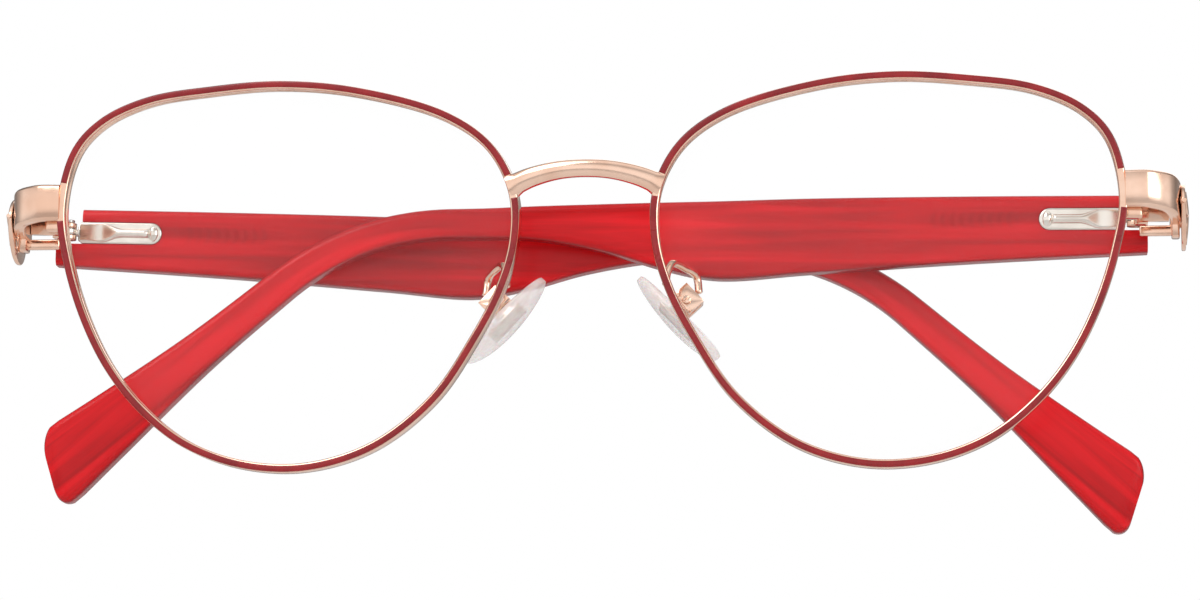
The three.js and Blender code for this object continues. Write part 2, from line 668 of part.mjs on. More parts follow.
// A forked plate set across the housing, its two prongs either side of the rod.
function springStop() {
  const inner = HOUSING_X - CHANNEL_HALF + SOLDER_GAP;
  const outer = TEMPLE_INSET + HOUSING_THICKNESS;
  const room = ROD_RADIUS + RUNNING_GAP;
  return shape(
    [box(inner, outer, STOP_FRONT, STOP_FRONT + STOP_LENGTH,
      -SLIDER_HALF_HEIGHT, SLIDER_HALF_HEIGHT)],
    [box(inner - 1, HOUSING_X + room, STOP_FRONT - 1, STOP_FRONT + STOP_LENGTH + 1, -room, room)],
  );
}

// The coil spring round the rod, between the stop and the nut.
function coilSpring() {
  const start = SPRING_START + SPRING_WIRE_RADIUS;
  const stepsPerTurn = 8;
  const steps = SPRING_TURNS * stepsPerTurn;
  const pitch = (SPRING_LENGTH - 2 * SPRING_WIRE_RADIUS) / SPRING_TURNS;
  const rings = [];
  for (let i = 0; i <= steps; i++) {
    const angle = (2 * Math.PI * i) / stepsPerTurn;
    const outward = new Vector3(Math.cos(angle), 0, Math.sin(angle));
    const along = new Vector3(0, 1, 0);
    const centre = new Vector3(HOUSING_X, start + (pitch * i) / stepsPerTurn, 0)
      .addScaledVector(outward, SPRING_COIL_RADIUS);
    rings.push(circle(SPRING_WIRE_RADIUS, 5).map((p) => centre.clone()
      .addScaledVector(outward, p.x).addScaledVector(along, p.y)));
  }
  return loft(rings);
}

// ---- Temples -----------------------------------------------------------------------------

// Middle line of the temple: straight, then a bend of one radius, then the straight earpiece.
const BEND_LENGTH = TEMPLE_BEND_RADIUS * rad(TEMPLE_BEND_DEG);
const SPINE_END = TEMPLE_BEND_START + BEND_LENGTH + TEMPLE_TIP_LENGTH;

// Point and direction of the spine at a distance along it, in the temple's side view.
function spine(distance) {
  const turned = Math.min(Math.max(distance - TEMPLE_BEND_START, 0), BEND_LENGTH);
  const angle = turned / TEMPLE_BEND_RADIUS;
  const straight = Math.min(distance, TEMPLE_BEND_START);
  const tail = Math.max(distance - TEMPLE_BEND_START - BEND_LENGTH, 0);
  const along = new Vector3(0, Math.cos(angle), -Math.sin(angle));
  const point = new Vector3(0, straight + TEMPLE_BEND_RADIUS * Math.sin(angle),
    -TEMPLE_BEND_RADIUS * (1 - Math.cos(angle))).addScaledVector(along, tail);
  return { point, along, above: new Vector3(0, -along.z, along.y) };
}

const BELLY = 48.5; // where the temple is deepest, behind the pin axis
const NECK = TEMPLE_BEND_START - 3; // where it is slimmest, just ahead of the bend

// Distance along the spine, rise of the upper edge and drop of the lower edge at the places
// that give the blade its shape: front end, belly, neck, and the paddle of the earpiece.
const BLADE = [
  [-TEMPLE_LIP, 2.85, 3.9], [20, 2.85, 4.95], [38, 2.7, 6.1], [BELLY, 2.45, 6.75],
  [BELLY + 6, 2.35, 5.6], [BELLY + 13, 2.2, 3.5], [NECK - 7, 2.0, 2.0], [NECK, 1.75, 1.75],
  [TEMPLE_BEND_START + 10, 1.7, 1.8], [TEMPLE_BEND_START + BEND_LENGTH, 1.8, 2.0],
  [SPINE_END - 22, 2.2, 2.5], [SPINE_END - 9, 3.3, 3.9], [SPINE_END - 3, 3.9, 4.6],
];
const TIP_SLANT = 0.42; // the end face leans, its lower corner reaching further
const TIP_CORNER = 2.2;

function bladeAt(column) {
  return new THREE.SplineCurve(BLADE.map((row) => new Vector2(row[0], row[column])));
}

function acetateRings() {
  const [rise, drop] = [bladeAt(1), bladeAt(2)];
  const stations = [];
  const steps = 40;
  for (let i = 0; i <= steps; i++) {
    const up = rise.getPoint(i / steps);
    stations.push([up.x, up.y, drop.getPoint(i / steps).y]);
  }
  // the rounded end of the paddle
  const [lastAt, lastUp, lastDown] = stations[stations.length - 1];
  for (const turn of [30, 55, 75, 90]) {
    const inset = TIP_CORNER * (1 - Math.cos(rad(turn)));
    stations.push([lastAt + 0.8 + TIP_CORNER * Math.sin(rad(turn)), lastUp + 0.1 - inset,
      lastDown + 0.1 - inset]);
  }
  return stations.map(([distance, up, down]) => {
    const { point, along, above } = spine(distance);
    const slant = TIP_SLANT * Math.min(Math.max((distance - SPINE_END + 25) / 25, 0), 1);
    const end = Math.max(distance - (lastAt + 0.8), 0) / TIP_CORNER;
    const thin = TEMPLE_THICKNESS - 0.9 * end * end;
    const centreX = TEMPLE_INSET + TEMPLE_THICKNESS / 2;
    return chamferedBox(thin, up + down, TEMPLE_EDGE_RADIUS).map((p) => {
      const height = p.y + (up - down) / 2;
      return point.clone().addScaledVector(above, height)
        .addScaledVector(along, -height * slant).setX(centreX + p.x);
    });
  });
}

function coreRun(width, thickness, from, to) {
  const rings = [];
  const steps = 34;
  const centreX = HOUSING_X;
  for (let i = 0; i <= steps; i++) {
    const { point, above } = spine(from + ((to - from) * i) / steps);
    rings.push([[1, 1], [-1, 1], [-1, -1], [1, -1]].map(([x, z]) => point.clone()
      .addScaledVector(above, (z * width) / 2).setX(centreX + (x * thickness) / 2)));
  }
  return loft(rings);
}

const CORE_START = HOUSING_END + 0.4;
const CORE_END = SPINE_END - CORE_END_MARGIN;

function housingPocket() {
  const r = HOUSING_HEIGHT / 2 + SOLDER_GAP;
  const outline = new THREE.Shape();
  outline.moveTo(-5, -r);
  outline.lineTo(HOUSING_END - HOUSING_HEIGHT / 2, -r);
  outline.absarc(HOUSING_END - HOUSING_HEIGHT / 2, 0, r, -Math.PI / 2, Math.PI / 2, false);
  outline.lineTo(-5, r);
  outline.closePath();
  const pocket = new THREE.ExtrudeGeometry(outline, {
    depth: HOUSING_THICKNESS + 1 + SOLDER_GAP, bevelEnabled: false, curveSegments: 12,
  });
  pocket.applyMatrix4(SIDE_VIEW);
  pocket.translate(TEMPLE_INSET - 1, 0, 0);
  return tidy(pocket);
}

function acetateTemple() {
  const lipTop = -BARREL_HEIGHT / 2 - 0.2;
  return shape(
    [loft(acetateRings())],
    [
      housingPocket(),
      // the upper front corner is cut back clear of the barrels
      box(-2, TEMPLE_OUTER + 2, -TEMPLE_LIP - 2, BARREL_RADIUS + 0.6, lipTop, HOUSING_HEIGHT * 3),
      coreRun(CORE_WIDTH + 2 * CORE_GAP, CORE_THICKNESS + 2 * CORE_GAP, HOUSING_END - 1,
        CORE_END + CORE_GAP),
    ],
  );
}

function addTemple({ name, sign }) {
  const lean = new THREE.Group(); // leans the pin axis in front view
  lean.position.set(sign * HINGE_X, HINGE_Y, HINGE_HEIGHT);
  lean.rotation.y = sign * -rad(TEMPLE_DROOP_DEG[name]);
  add(lean, `${name}_hinge_leaf`, hingeLeaf(), ROSE_GOLD, sign);
  add(lean, `${name}_hinge_screw`, hingeScrew(), STEEL, sign);
  const temple = new THREE.Group();
  temple.rotation.z = sign * rad(TEMPLE_FOLD_DEG[name]);
  add(temple, `${name}_spring_slider`, springSlider(), NICKEL, sign);
  add(temple, `${name}_hinge_housing`, hingeHousing(), NICKEL, sign);
  add(temple, `${name}_spring_stop`, springStop(), STEEL, sign);
  add(temple, `${name}_spring_nut`, springNut(), STEEL, sign);
  add(temple, `${name}_hinge_spring`, coilSpring(), STEEL, sign);
  add(temple, `${name}_core_wire`, coreRun(CORE_WIDTH, CORE_THICKNESS, CORE_START, CORE_END),
    NICKEL, sign);
  add(temple, `${name}_temple`, acetateTemple(), RED_ACETATE, sign);
  lean.add(temple);
  glasses.add(lean);
}

SIDES.forEach(addTemple);

// ---- Nose pads ---------------------------------------------------------------------------
// Drawn about the pad's middle: x away from the nose, y along the pad's width, z up its length.

const PAD_BOX_BACK = PAD_THICKNESS / 2 + PAD_BOX_GAP;
const PAD_SCREW_X = PAD_BOX_BACK + PAD_BOX_DEPTH * 0.45;
const PAD_CHEEK = PAD_BOX_SIZE / 2 - 0.2; // the box's cheeks are a little narrower than it is tall

// A teardrop cushion, narrower at its top, domed towards the nose.
function nosePad() {
  const rings = [];
  const steps = 14;
  for (let i = 0; i <= steps; i++) {
    const u = -Math.cos((Math.PI * (i + 0.25)) / (steps + 0.5));
    const breadth = Math.sqrt(Math.max(1 - u * u, 0)) * (1 - 0.16 * u);
    const dome = 0.35 * (1 - u * u);
    rings.push(circle(1, 16).map((p) => new Vector3(
      (p.x * PAD_THICKNESS * (0.3 + 0.7 * breadth)) / 2 - dome + 0.35,
      (p.y * PAD_WIDTH * breadth) / 2,
      (u * PAD_LENGTH) / 2,
    )));
  }
  return shape([loft(rings)], insertBoxes(SOLDER_GAP, PAD_THICKNESS));
}

// The plate and lug of the insert, grown all round by a margin.
function insertBoxes(margin, lugEnd) {
  const plate = PAD_INSERT_THICKNESS / 2 + margin;
  const [wide, long] = [PAD_INSERT_WIDTH / 2 + margin, PAD_INSERT_LENGTH / 2 + margin];
  const [lugWide, lugHigh] = [PAD_LUG_WIDTH / 2 + margin, PAD_LUG_HEIGHT / 2 + margin];
  return [
    box(PAD_INSERT_DEPTH - plate, PAD_INSERT_DEPTH + plate, -wide, wide, -long, long),
    box(PAD_INSERT_DEPTH, lugEnd, -lugWide, lugWide, PAD_BOX_RISE - lugHigh, PAD_BOX_RISE + lugHigh),
  ];
}

// The stiffener moulded into the pad, with the lug that its screw passes through.
function padInsert() {
  return shape(
    insertBoxes(0, PAD_SCREW_X + PAD_LUG_WIDTH / 2 + SOLDER_GAP),
    [alongWidth(PAD_SCREW_X, PAD_BOX_RISE, 2, PAD_SCREW_RADIUS + RUNNING_GAP)],
  );
}

// A cylinder along the pad's width.
function alongWidth(x, z, half, radius, sides = 12) {
  const geometry = new THREE.CylinderGeometry(radius, radius, 2 * half, sides);
  geometry.translate(x, 0, z);
  return tidy(geometry);
}

// The box on the pad arm: two cheeks either side of the lug, joined behind it.
function padBox() {
  const outer = PAD_BOX_SIZE / 2;
  const [near, far] = [PAD_BOX_BACK, PAD_BOX_BACK + PAD_BOX_DEPTH];
  const room = PAD_LUG_WIDTH / 2 + RUNNING_GAP;
  return shape(
    [box(near, far + PAD_WALL, -PAD_CHEEK, PAD_CHEEK, PAD_BOX_RISE - outer, PAD_BOX_RISE + outer)],
    [
      box(near - 1, far, -room, room, -2 * outer, 3 * outer),
      alongWidth(PAD_SCREW_X, PAD_BOX_RISE, 2 * PAD_CHEEK, PAD_SCREW_RADIUS + RUNNING_GAP),
    ],
  );
}

function padScrew() {
  const head = new THREE.CylinderGeometry(PAD_HEAD_RADIUS, PAD_HEAD_RADIUS, PAD_HEAD_HEIGHT, 14);
  head.translate(PAD_SCREW_X, -PAD_CHEEK - PAD_HEAD_HEIGHT / 2 - SOLDER_GAP, PAD_BOX_RISE);
  const slot = box(PAD_SCREW_X - 2 * PAD_HEAD_RADIUS, PAD_SCREW_X + 2 * PAD_HEAD_RADIUS,
    -PAD_CHEEK - 2 * PAD_HEAD_HEIGHT, -PAD_CHEEK - SOLDER_GAP - PAD_HEAD_HEIGHT / 2,
    PAD_BOX_RISE - SOLDER_GAP, PAD_BOX_RISE + SOLDER_GAP);
  const shank = new THREE.CylinderGeometry(PAD_SCREW_RADIUS, PAD_SCREW_RADIUS, 2 * (PAD_CHEEK + SOLDER_GAP), 12);
  shank.translate(PAD_SCREW_X, -2 * SOLDER_GAP, PAD_BOX_RISE);
  return shape([tidy(head), tidy(shank)], [slot]);
}

const PAD_TURN = new THREE.Euler(0, -rad(PAD_LEAN_DEG), rad(PAD_SPLAY_DEG), 'YZX');

function padPoint(x, y, z) {
  return new Vector3(x, y, z).applyEuler(PAD_TURN).add(PAD_CENTRE);
}

// The wire from the back of the rim, curling up and back to the box.
function padArm() {
  const foot = onRim(noseFraction(LENS_CENTRE_HEIGHT - 0.6), -0.05, RIM_WIRE_DEPTH);
  const reach = PAD_BOX_BACK + PAD_BOX_DEPTH + PAD_WALL + PAD_ARM_RADIUS + SOLDER_GAP;
  const end = padPoint(reach, 0, PAD_BOX_RISE - 0.3);
  const above = padPoint(reach + 0.25, 0, PAD_BOX_RISE + 1.2);
  const path = new THREE.CatmullRomCurve3([
    foot.clone().add(new Vector3(0, PAD_ARM_RADIUS, -0.9)),
    foot.clone().add(new Vector3(0.1, PAD_ARM_RADIUS + 0.25, 0.5)),
    foot.clone().add(new Vector3(0.6, 1.9, 1.9)),
    foot.clone().lerp(above, 0.55).add(new Vector3(0.5, 0.6, 1.5)),
    above.clone().add(new Vector3(0.5, 0.2, 0.6)),
    end,
  ]);
  return sweep(path, () => circle(PAD_ARM_RADIUS, 8), 22, new Vector3(1, 0.1, 0));
}

function addNosePad({ name, sign }) {
  add(glasses, `${name}_pad_arm`, padArm(), ROSE_GOLD, sign);
  const pad = new THREE.Group();
  pad.position.set(sign * PAD_CENTRE.x, PAD_CENTRE.y, PAD_CENTRE.z);
  pad.rotation.set(PAD_TURN.x, sign * PAD_TURN.y, sign * PAD_TURN.z, PAD_TURN.order);
  add(pad, `${name}_pad_box`, padBox(), ROSE_GOLD, sign);
  add(pad, `${name}_pad_screw`, padScrew(), ROSE_GOLD, sign);
  add(pad, `${name}_pad_insert`, padInsert(), NICKEL, sign);
  add(pad, `${name}_nose_pad`, nosePad(), SILICONE, sign);
  glasses.add(pad);
}

SIDES.forEach(addNosePad);

export default glasses;
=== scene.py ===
"""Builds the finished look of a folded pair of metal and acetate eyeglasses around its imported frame.

Sizes are in millimetres in the builders and in metres in the scene. Each sub-assembly is a class whose
fields are its sizes; it is drawn for the wearer's left side and mirrored for the right.
"""

import json
import logging
import math
from dataclasses import dataclass, field
from enum import Enum
from typing import Callable, Iterable, Optional, Sequence

import bmesh
import bpy
import numpy as np
from mathutils import Matrix, Vector

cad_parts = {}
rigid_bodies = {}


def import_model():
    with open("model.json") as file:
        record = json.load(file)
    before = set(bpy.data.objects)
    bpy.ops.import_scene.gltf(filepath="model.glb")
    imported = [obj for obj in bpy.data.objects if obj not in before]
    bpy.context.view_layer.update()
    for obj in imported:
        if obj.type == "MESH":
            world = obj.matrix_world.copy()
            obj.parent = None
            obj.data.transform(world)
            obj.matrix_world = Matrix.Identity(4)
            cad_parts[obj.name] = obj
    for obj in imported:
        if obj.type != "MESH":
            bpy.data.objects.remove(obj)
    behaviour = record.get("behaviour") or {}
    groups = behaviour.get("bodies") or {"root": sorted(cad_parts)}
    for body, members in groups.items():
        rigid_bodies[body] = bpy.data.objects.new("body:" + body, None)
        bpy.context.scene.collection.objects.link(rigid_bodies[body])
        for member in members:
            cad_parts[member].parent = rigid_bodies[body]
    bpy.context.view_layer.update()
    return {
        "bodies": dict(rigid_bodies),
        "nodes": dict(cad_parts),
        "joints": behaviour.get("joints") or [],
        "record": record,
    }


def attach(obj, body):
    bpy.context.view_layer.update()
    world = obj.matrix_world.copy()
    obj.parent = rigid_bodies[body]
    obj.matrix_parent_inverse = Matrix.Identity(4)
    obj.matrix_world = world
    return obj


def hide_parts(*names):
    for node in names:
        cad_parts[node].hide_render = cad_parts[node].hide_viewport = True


LOG = logging.getLogger("eyeglasses")
MM = 0.001
WELD = 0.0005  # corners closer than this are one, in millimetres
FLAT_DEG = 2.0  # faces that turn less than this are one flat face
Ring = list[Vector]


class Side(Enum):
    """The wearer's side that a mirrored sub-assembly belongs to."""

    LEFT = "left"
    RIGHT = "right"

    @property
    def sign(self) -> int:
        """+1 towards the wearer's left, -1 towards the right."""
        return 1 if self is Side.LEFT else -1


# ---- Finishes --------------------------------------------------------------------------------


class Nodes:
    """A small writer of shader node trees around one Principled BSDF."""

    def __init__(self, name: str) -> None:
        """Starts an empty material.

        Args:
            name: the material's name.
        """
        self.material = bpy.data.materials.new(name)
        self.material.use_nodes = True
        self.tree = self.material.node_tree
        self.shader = self.tree.nodes["Principled BSDF"]

    def new(self, kind: str, **settings: object) -> bpy.types.Node:
        """Adds a node and sets its properties and its unlinked inputs.

        Args:
            kind: the node's type name, without the ShaderNode prefix.
            **settings: property names, or input names with underscores for spaces.

        Returns:
            The new node.
        """
        node = self.tree.nodes.new("ShaderNode" + kind)
        for key, value in settings.items():
            if hasattr(node, key):
                setattr(node, key, value)
            else:
                node.inputs[key.replace("_", " ")].default_value = value
        return node

    def link(self, output: bpy.types.NodeSocket, target: bpy.types.NodeSocket) -> None:
        """Links an output to an input."""
        self.tree.links.new(output, target)

    def set(self, **values: object) -> None:
        """Sets constants on the Principled shader, input names with underscores for spaces."""
        for key, value in values.items():
            self.shader.inputs[key.replace("_", " ")].default_value = value

    def noise(self, scale: float, detail: float = 3.0,
              stretch: Sequence[float] = (1, 1, 1)) -> bpy.types.NodeSocket:
        """Noise in the object's own coordinates.

        Args:
            scale: cycles per metre.
            detail: octaves.
            stretch: factors on the three axes.

        Returns:
            The noise value's socket.
        """
        place = self.new("TexCoord")
        mapping = self.new("Mapping", Scale=stretch)
        self.link(place.outputs["Object"], mapping.inputs["Vector"])
        noise = self.new("TexNoise", Scale=scale, Detail=detail)
        self.link(mapping.outputs["Vector"], noise.inputs["Vector"])
        return noise.outputs["Fac"]

    def ramp(self, value: bpy.types.NodeSocket, stops: Sequence[tuple]) -> bpy.types.NodeSocket:
        """Maps a value through a colour ramp.

        Args:
            value: the driving socket.
            stops: (position, colour) pairs, a colour being three or four numbers.

        Returns:
            The ramp's colour socket.
        """
        node = self.new("ValToRGB")
        while len(node.color_ramp.elements) < len(stops):
            node.color_ramp.elements.new(0.5)
        for element, (position, colour) in zip(node.color_ramp.elements, stops):
            element.position = position
            element.color = tuple(colour) + (1.0,) * (4 - len(colour))
        self.link(value, node.inputs["Fac"])
        return node.outputs["Color"]

    def roughness(self, low: float, high: float, scale: float) -> None:
        """Varies the roughness between two values by fine noise."""
        spread = self.new("MapRange", To_Min=low, To_Max=high)
        self.link(self.noise(scale), spread.inputs["Value"])
        self.link(spread.outputs["Result"], self.shader.inputs["Roughness"])

    def bump(self, height: bpy.types.NodeSocket, distance: float, strength: float = 0.5) -> None:
        """Adds a bump from a height socket, its distance in metres."""
        bump = self.new("Bump", Strength=strength, Distance=distance)
        self.link(height, bump.inputs["Height"])
        self.link(bump.outputs["Normal"], self.shader.inputs["Normal"])


def linear(red: int, green: int, blue: int) -> tuple[float, float, float]:
    """Turns an 8-bit display colour into linear values.

    Args:
        red: 0 to 255.
        green: 0 to 255.
        blue: 0 to 255.

    Returns:
        The linear red, green and blue.
    """
    def channel(value: int) -> float:
        """One channel by the display's transfer curve."""
        c = value / 255
        return c / 12.92 if c <= 0.04045 else ((c + 0.055) / 1.055) ** 2.4
    return channel(red), channel(green), channel(blue)


@dataclass(frozen=True)
class PolishedMetal:
    """A plated or bare metal with fine polishing marks and slight tone changes."""

    name: str
    bright: tuple[float, float, float]
    deep: tuple[float, float, float]
    gloss: tuple[float, float] = (0.1, 0.2)
    grain: float = 900.0

    def material(self) -> bpy.types.Material:
        """Builds the finish."""
        nodes = Nodes(self.name)
        nodes.set(Metallic=1.0)
        tone = nodes.ramp(nodes.noise(260.0), [(0.35, self.deep), (0.62, self.bright)])
        nodes.link(tone, nodes.shader.inputs["Base Color"])
        nodes.roughness(*self.gloss, self.grain)
        nodes.bump(nodes.noise(2600.0, 2.0, (0.3, 1, 1)), 0.000004, 0.25)
        return nodes.material


@dataclass(frozen=True)
class Enamel:
    """Glossy baked enamel, a little darker where it pools."""

    name: str = "dark_red_enamel"
    base: tuple[float, float, float] = linear(152, 30, 34)
    pooled: tuple[float, float, float] = linear(128, 24, 29)

    def material(self) -> bpy.types.Material:
        """Builds the finish."""
        nodes = Nodes(self.name)
        tone = nodes.ramp(nodes.noise(320.0), [(0.35, self.pooled), (0.65, self.base)])
        nodes.link(tone, nodes.shader.inputs["Base Color"])
        nodes.set(Coat_Weight=0.2, Coat_Roughness=0.08, Specular_IOR_Level=0.3)
        nodes.roughness(0.22, 0.34, 800.0)
        nodes.bump(nodes.noise(1500.0), 0.00001, 0.3)
        return nodes.material


@dataclass(frozen=True)
class Acetate:
    """Translucent red acetate with long darker streaks, its wire showing through near the hinge, and painted
    shade on its rounded edges.
    """

    name: str = "red_acetate"
    bright: tuple[float, float, float] = linear(226, 30, 38)
    middle: tuple[float, float, float] = linear(203, 26, 32)
    dark: tuple[float, float, float] = linear(170, 26, 30)
    # painted shade multiplied onto the rounded edges
    edge_shade: tuple[float, float, float] = (0.5, 0.3, 0.36)
    wire_from: float = 13.5
    wire_to: float = 24.0
    wire_pitch: float = 1.1
    wire_half: float = 0.95
    wire_bow: float = 0.45
    wire_depth: float = 0.55

    def material(self) -> bpy.types.Material:
        """Builds the finish; the mesh's uv map runs along the blade and across it, in millimetres."""
        nodes = Nodes(self.name)
        uv = nodes.new("UVMap", uv_map="blade")
        stretch = nodes.new("Mapping", Scale=(0.028, 0.55, 1.0))
        nodes.link(uv.outputs["UV"], stretch.inputs["Vector"])
        streaks = nodes.new("TexNoise", Scale=1.0, Detail=4.0, Roughness=0.55, Distortion=0.6)
        nodes.link(stretch.outputs["Vector"], streaks.inputs["Vector"])
        stops = [(0.32, self.dark), (0.5, self.middle), (0.68, self.bright)]
        tone = nodes.ramp(streaks.outputs["Fac"], stops)
        # Painted shade darkens the rounded edges, laid over the streaks and wire marks.
        marked = self._painted_edge_shade(nodes, self._wire_marks(nodes, uv, tone))
        nodes.link(marked, nodes.shader.inputs["Base Color"])
        nodes.set(Subsurface_Weight=0.5, Subsurface_Radius=(1.0, 0.12, 0.1), Subsurface_Scale=0.0016,
                  IOR=1.48, Specular_IOR_Level=0.18, Coat_Weight=0.04, Coat_Roughness=0.05)
        nodes.roughness(0.16, 0.28, 500.0)
        nodes.bump(nodes.noise(420.0, 1.0), 0.00004, 0.12)
        return nodes.material

    def _painted_edge_shade(self, nodes: Nodes, tone: bpy.types.NodeSocket) -> bpy.types.NodeSocket:
        """Paints shade onto the rounded edges: darkens the colour where the surface turns from the flat
        faces, standing in for light passing through more of the sheet.

        Args:
            nodes: the material's writer.
            tone: the colour of the flat faces.

        Returns:
            The colour with its painted edge shade.
        """
        place, split = nodes.new("TexCoord"), nodes.new("SeparateXYZ")
        nodes.link(place.outputs["Normal"], split.inputs[0])
        flat = nodes.new("Math", operation="ABSOLUTE")
        nodes.link(split.outputs[1], flat.inputs[0])
        # Painted shade: darker where the normal turns away from the flat faces, plain colour on them.
        depth = nodes.ramp(flat.outputs[0], [(0.3, self.edge_shade), (0.75, (1.0, 1.0, 1.0))])
        mix = nodes.new("MixRGB", blend_type="MULTIPLY", Fac=1.0)
        nodes.link(tone, mix.inputs["Color1"])
        nodes.link(depth, mix.inputs["Color2"])
        return mix.outputs["Color"]

    def _wire_marks(self, nodes: Nodes, uv: bpy.types.Node,
                    tone: bpy.types.NodeSocket) -> bpy.types.NodeSocket:
        """Darkens the colour in bowed bars over the core wire.

        Args:
            nodes: the material's writer.
            uv: the uv map node.
            tone: the acetate's own colour.

        Returns:
            The colour with the bars.
        """
        def math_node(operation: str, a: object, b: object = 0.0) -> bpy.types.NodeSocket:
            """One sum on two sockets or numbers."""
            node = nodes.new("Math", operation=operation)
            for socket, value in zip(node.inputs, (a, b)):
                if isinstance(value, bpy.types.NodeSocket):
                    nodes.link(value, socket)
                else:
                    socket.default_value = value
            return node.outputs[0]
        split = nodes.new("SeparateXYZ")
        nodes.link(uv.outputs["UV"], split.inputs[0])
        along, across = split.outputs[0], split.outputs[1]
        bow = math_node("MULTIPLY", math_node("MULTIPLY", across, across), self.wire_bow)
        phase = math_node("MULTIPLY", math_node("ADD", along, bow), 2 * math.pi / self.wire_pitch)
        bars = math_node("GREATER_THAN", math_node("SINE", phase), 0.1)
        inside = math_node("LESS_THAN", math_node("ABSOLUTE", across), self.wire_half)
        after = math_node("GREATER_THAN", along, self.wire_from)
        before = math_node("LESS_THAN", along, self.wire_to)
        stretch = math_node("MULTIPLY", after, before)
        mask = math_node("MULTIPLY", math_node("MULTIPLY", bars, inside), stretch)
        mix = nodes.new("MixRGB", blend_type="MULTIPLY", Color2=(0.72, 0.6, 0.6, 1.0))
        nodes.link(math_node("MULTIPLY", mask, self.wire_depth), mix.inputs["Fac"])
        nodes.link(tone, mix.inputs["Color1"])
        return mix.outputs["Color"]


@dataclass(frozen=True)
class LensCoat:
    """A clear coated lens: nearly nothing but its surface reflections and a trace of haze."""

    name: str = "clear_lens"
    haze: float = 0.012

    def material(self) -> bpy.types.Material:
        """Builds the finish."""
        nodes = Nodes(self.name)
        nodes.set(Base_Color=(0.95, 0.96, 0.97, 1.0), Alpha=self.haze, IOR=1.6, Specular_IOR_Level=0.2)
        nodes.roughness(0.01, 0.04, 60.0)
        return nodes.material


@dataclass(frozen=True)
class Silicone:
    """Clear soft silicone, faintly warm."""

    name: str = "clear_silicone"
    cloudy: tuple[float, float, float] = linear(240, 222, 218)
    clear: tuple[float, float, float] = linear(255, 250, 248)

    def material(self) -> bpy.types.Material:
        """Builds the finish."""
        nodes = Nodes(self.name)
        cloud = nodes.ramp(nodes.noise(700.0, 4.0), [(0.35, self.cloudy), (0.65, self.clear)])
        nodes.link(cloud, nodes.shader.inputs["Base Color"])
        nodes.set(Alpha=0.5, IOR=1.42, Subsurface_Weight=0.3, Subsurface_Scale=0.001, Coat_Weight=0.6,
                  Coat_Roughness=0.06)
        nodes.roughness(0.12, 0.25, 500.0)
        nodes.bump(nodes.noise(900.0, 3.0), 0.00005, 0.3)
        return nodes.material


@dataclass
class Finishes:
    """Every finish of the object, made once."""

    rose_gold: bpy.types.Material = field(init=False)
    nickel: bpy.types.Material = field(init=False)
    steel: bpy.types.Material = field(init=False)
    enamel: bpy.types.Material = field(init=False)
    acetate: bpy.types.Material = field(init=False)
    lens: bpy.types.Material = field(init=False)
    silicone: bpy.types.Material = field(init=False)

    def __post_init__(self) -> None:
        """Builds the materials."""
        self.rose_gold = PolishedMetal("rose_gold", linear(247, 211, 189), linear(236, 193, 168)).material()
        self.nickel = PolishedMetal("nickel_silver", linear(240, 233, 224), linear(224, 214, 203)).material()
        brushed = PolishedMetal("steel", linear(205, 203, 200), linear(184, 182, 179), gloss=(0.18, 0.3))
        self.steel = brushed.material()
        self.enamel = Enamel().material()
        self.acetate = Acetate().material()
        self.lens = LensCoat().material()
        self.silicone = Silicone().material()


# ---- Mesh tools ------------------------------------------------------------------------------


class Curve:
    """A smooth curve through given points, open or closed, read by fraction of its length."""

    def __init__(self, points: Sequence[Sequence[float]], closed: bool = False, fine: int = 24) -> None:
        """Samples a centripetal Catmull-Rom curve.

        Args:
            points: the points it passes through.
            closed: whether it ends where it starts.
            fine: samples between two points.
        """
        p = [Vector(q) for q in points]
        spans = len(p) if closed else len(p) - 1
        samples = []
        for i in range(spans):
            samples += [self._span(p, i, k / fine, closed) for k in range(fine)]
        samples.append(p[0].copy() if closed else p[-1].copy())
        self.points = np.array([tuple(s) for s in samples])
        steps = np.linalg.norm(np.diff(self.points, axis=0), axis=1)
        self.reach = np.concatenate([[0.0], np.cumsum(steps)])
        self.length = float(self.reach[-1])
        self.closed = closed

    @staticmethod
    def _span(p: list[Vector], i: int, t: float, closed: bool) -> Vector:
        """The point at fraction t between points i and i + 1."""
        count = len(p)
        if closed:
            a, b, c, d = (p[(i + k) % count] for k in (-1, 0, 1, 2))
        else:
            b, c = p[i], p[i + 1]
            a = p[i - 1] if i else b * 2 - c
            d = p[i + 2] if i + 2 < count else c * 2 - b
        knots = [0.0]
        for first, second in ((a, b), (b, c), (c, d)):
            knots.append(knots[-1] + max((second - first).length, 1e-6) ** 0.5)
        k0, k1, k2, k3 = knots
        x = k1 + (k2 - k1) * t

        def mix(m: Vector, n: Vector, lo: float, hi: float) -> Vector:
            """The point between m and n where x lies between lo and hi."""
            return m * ((hi - x) / (hi - lo)) + n * ((x - lo) / (hi - lo))

        ab, bc, cd = mix(a, b, k0, k1), mix(b, c, k1, k2), mix(c, d, k2, k3)
        return mix(mix(ab, bc, k0, k2), mix(bc, cd, k1, k3), k1, k2)

    def at(self, fraction: float) -> Vector:
        """The point at a fraction of the curve's length."""
        reach = (fraction % 1.0 if self.closed else min(max(fraction, 0.0), 1.0)) * self.length
        return Vector([float(np.interp(reach, self.reach, column)) for column in self.points.T])

    def tangent(self, fraction: float) -> Vector:
        """The unit direction at a fraction of the curve's length."""
        step = 0.002
        if self.closed:
            return (self.at(fraction + step) - self.at(fraction - step)).normalized()
        low, high = max(fraction - step, 0.0), min(fraction + step, 1.0)
        return (self.at(high) - self.at(low)).normalized()


def smoothstep(x: float) -> float:
    """Eases 0 to 1."""
    x = min(max(x, 0.0), 1.0)
    return x * x * (3 - 2 * x)


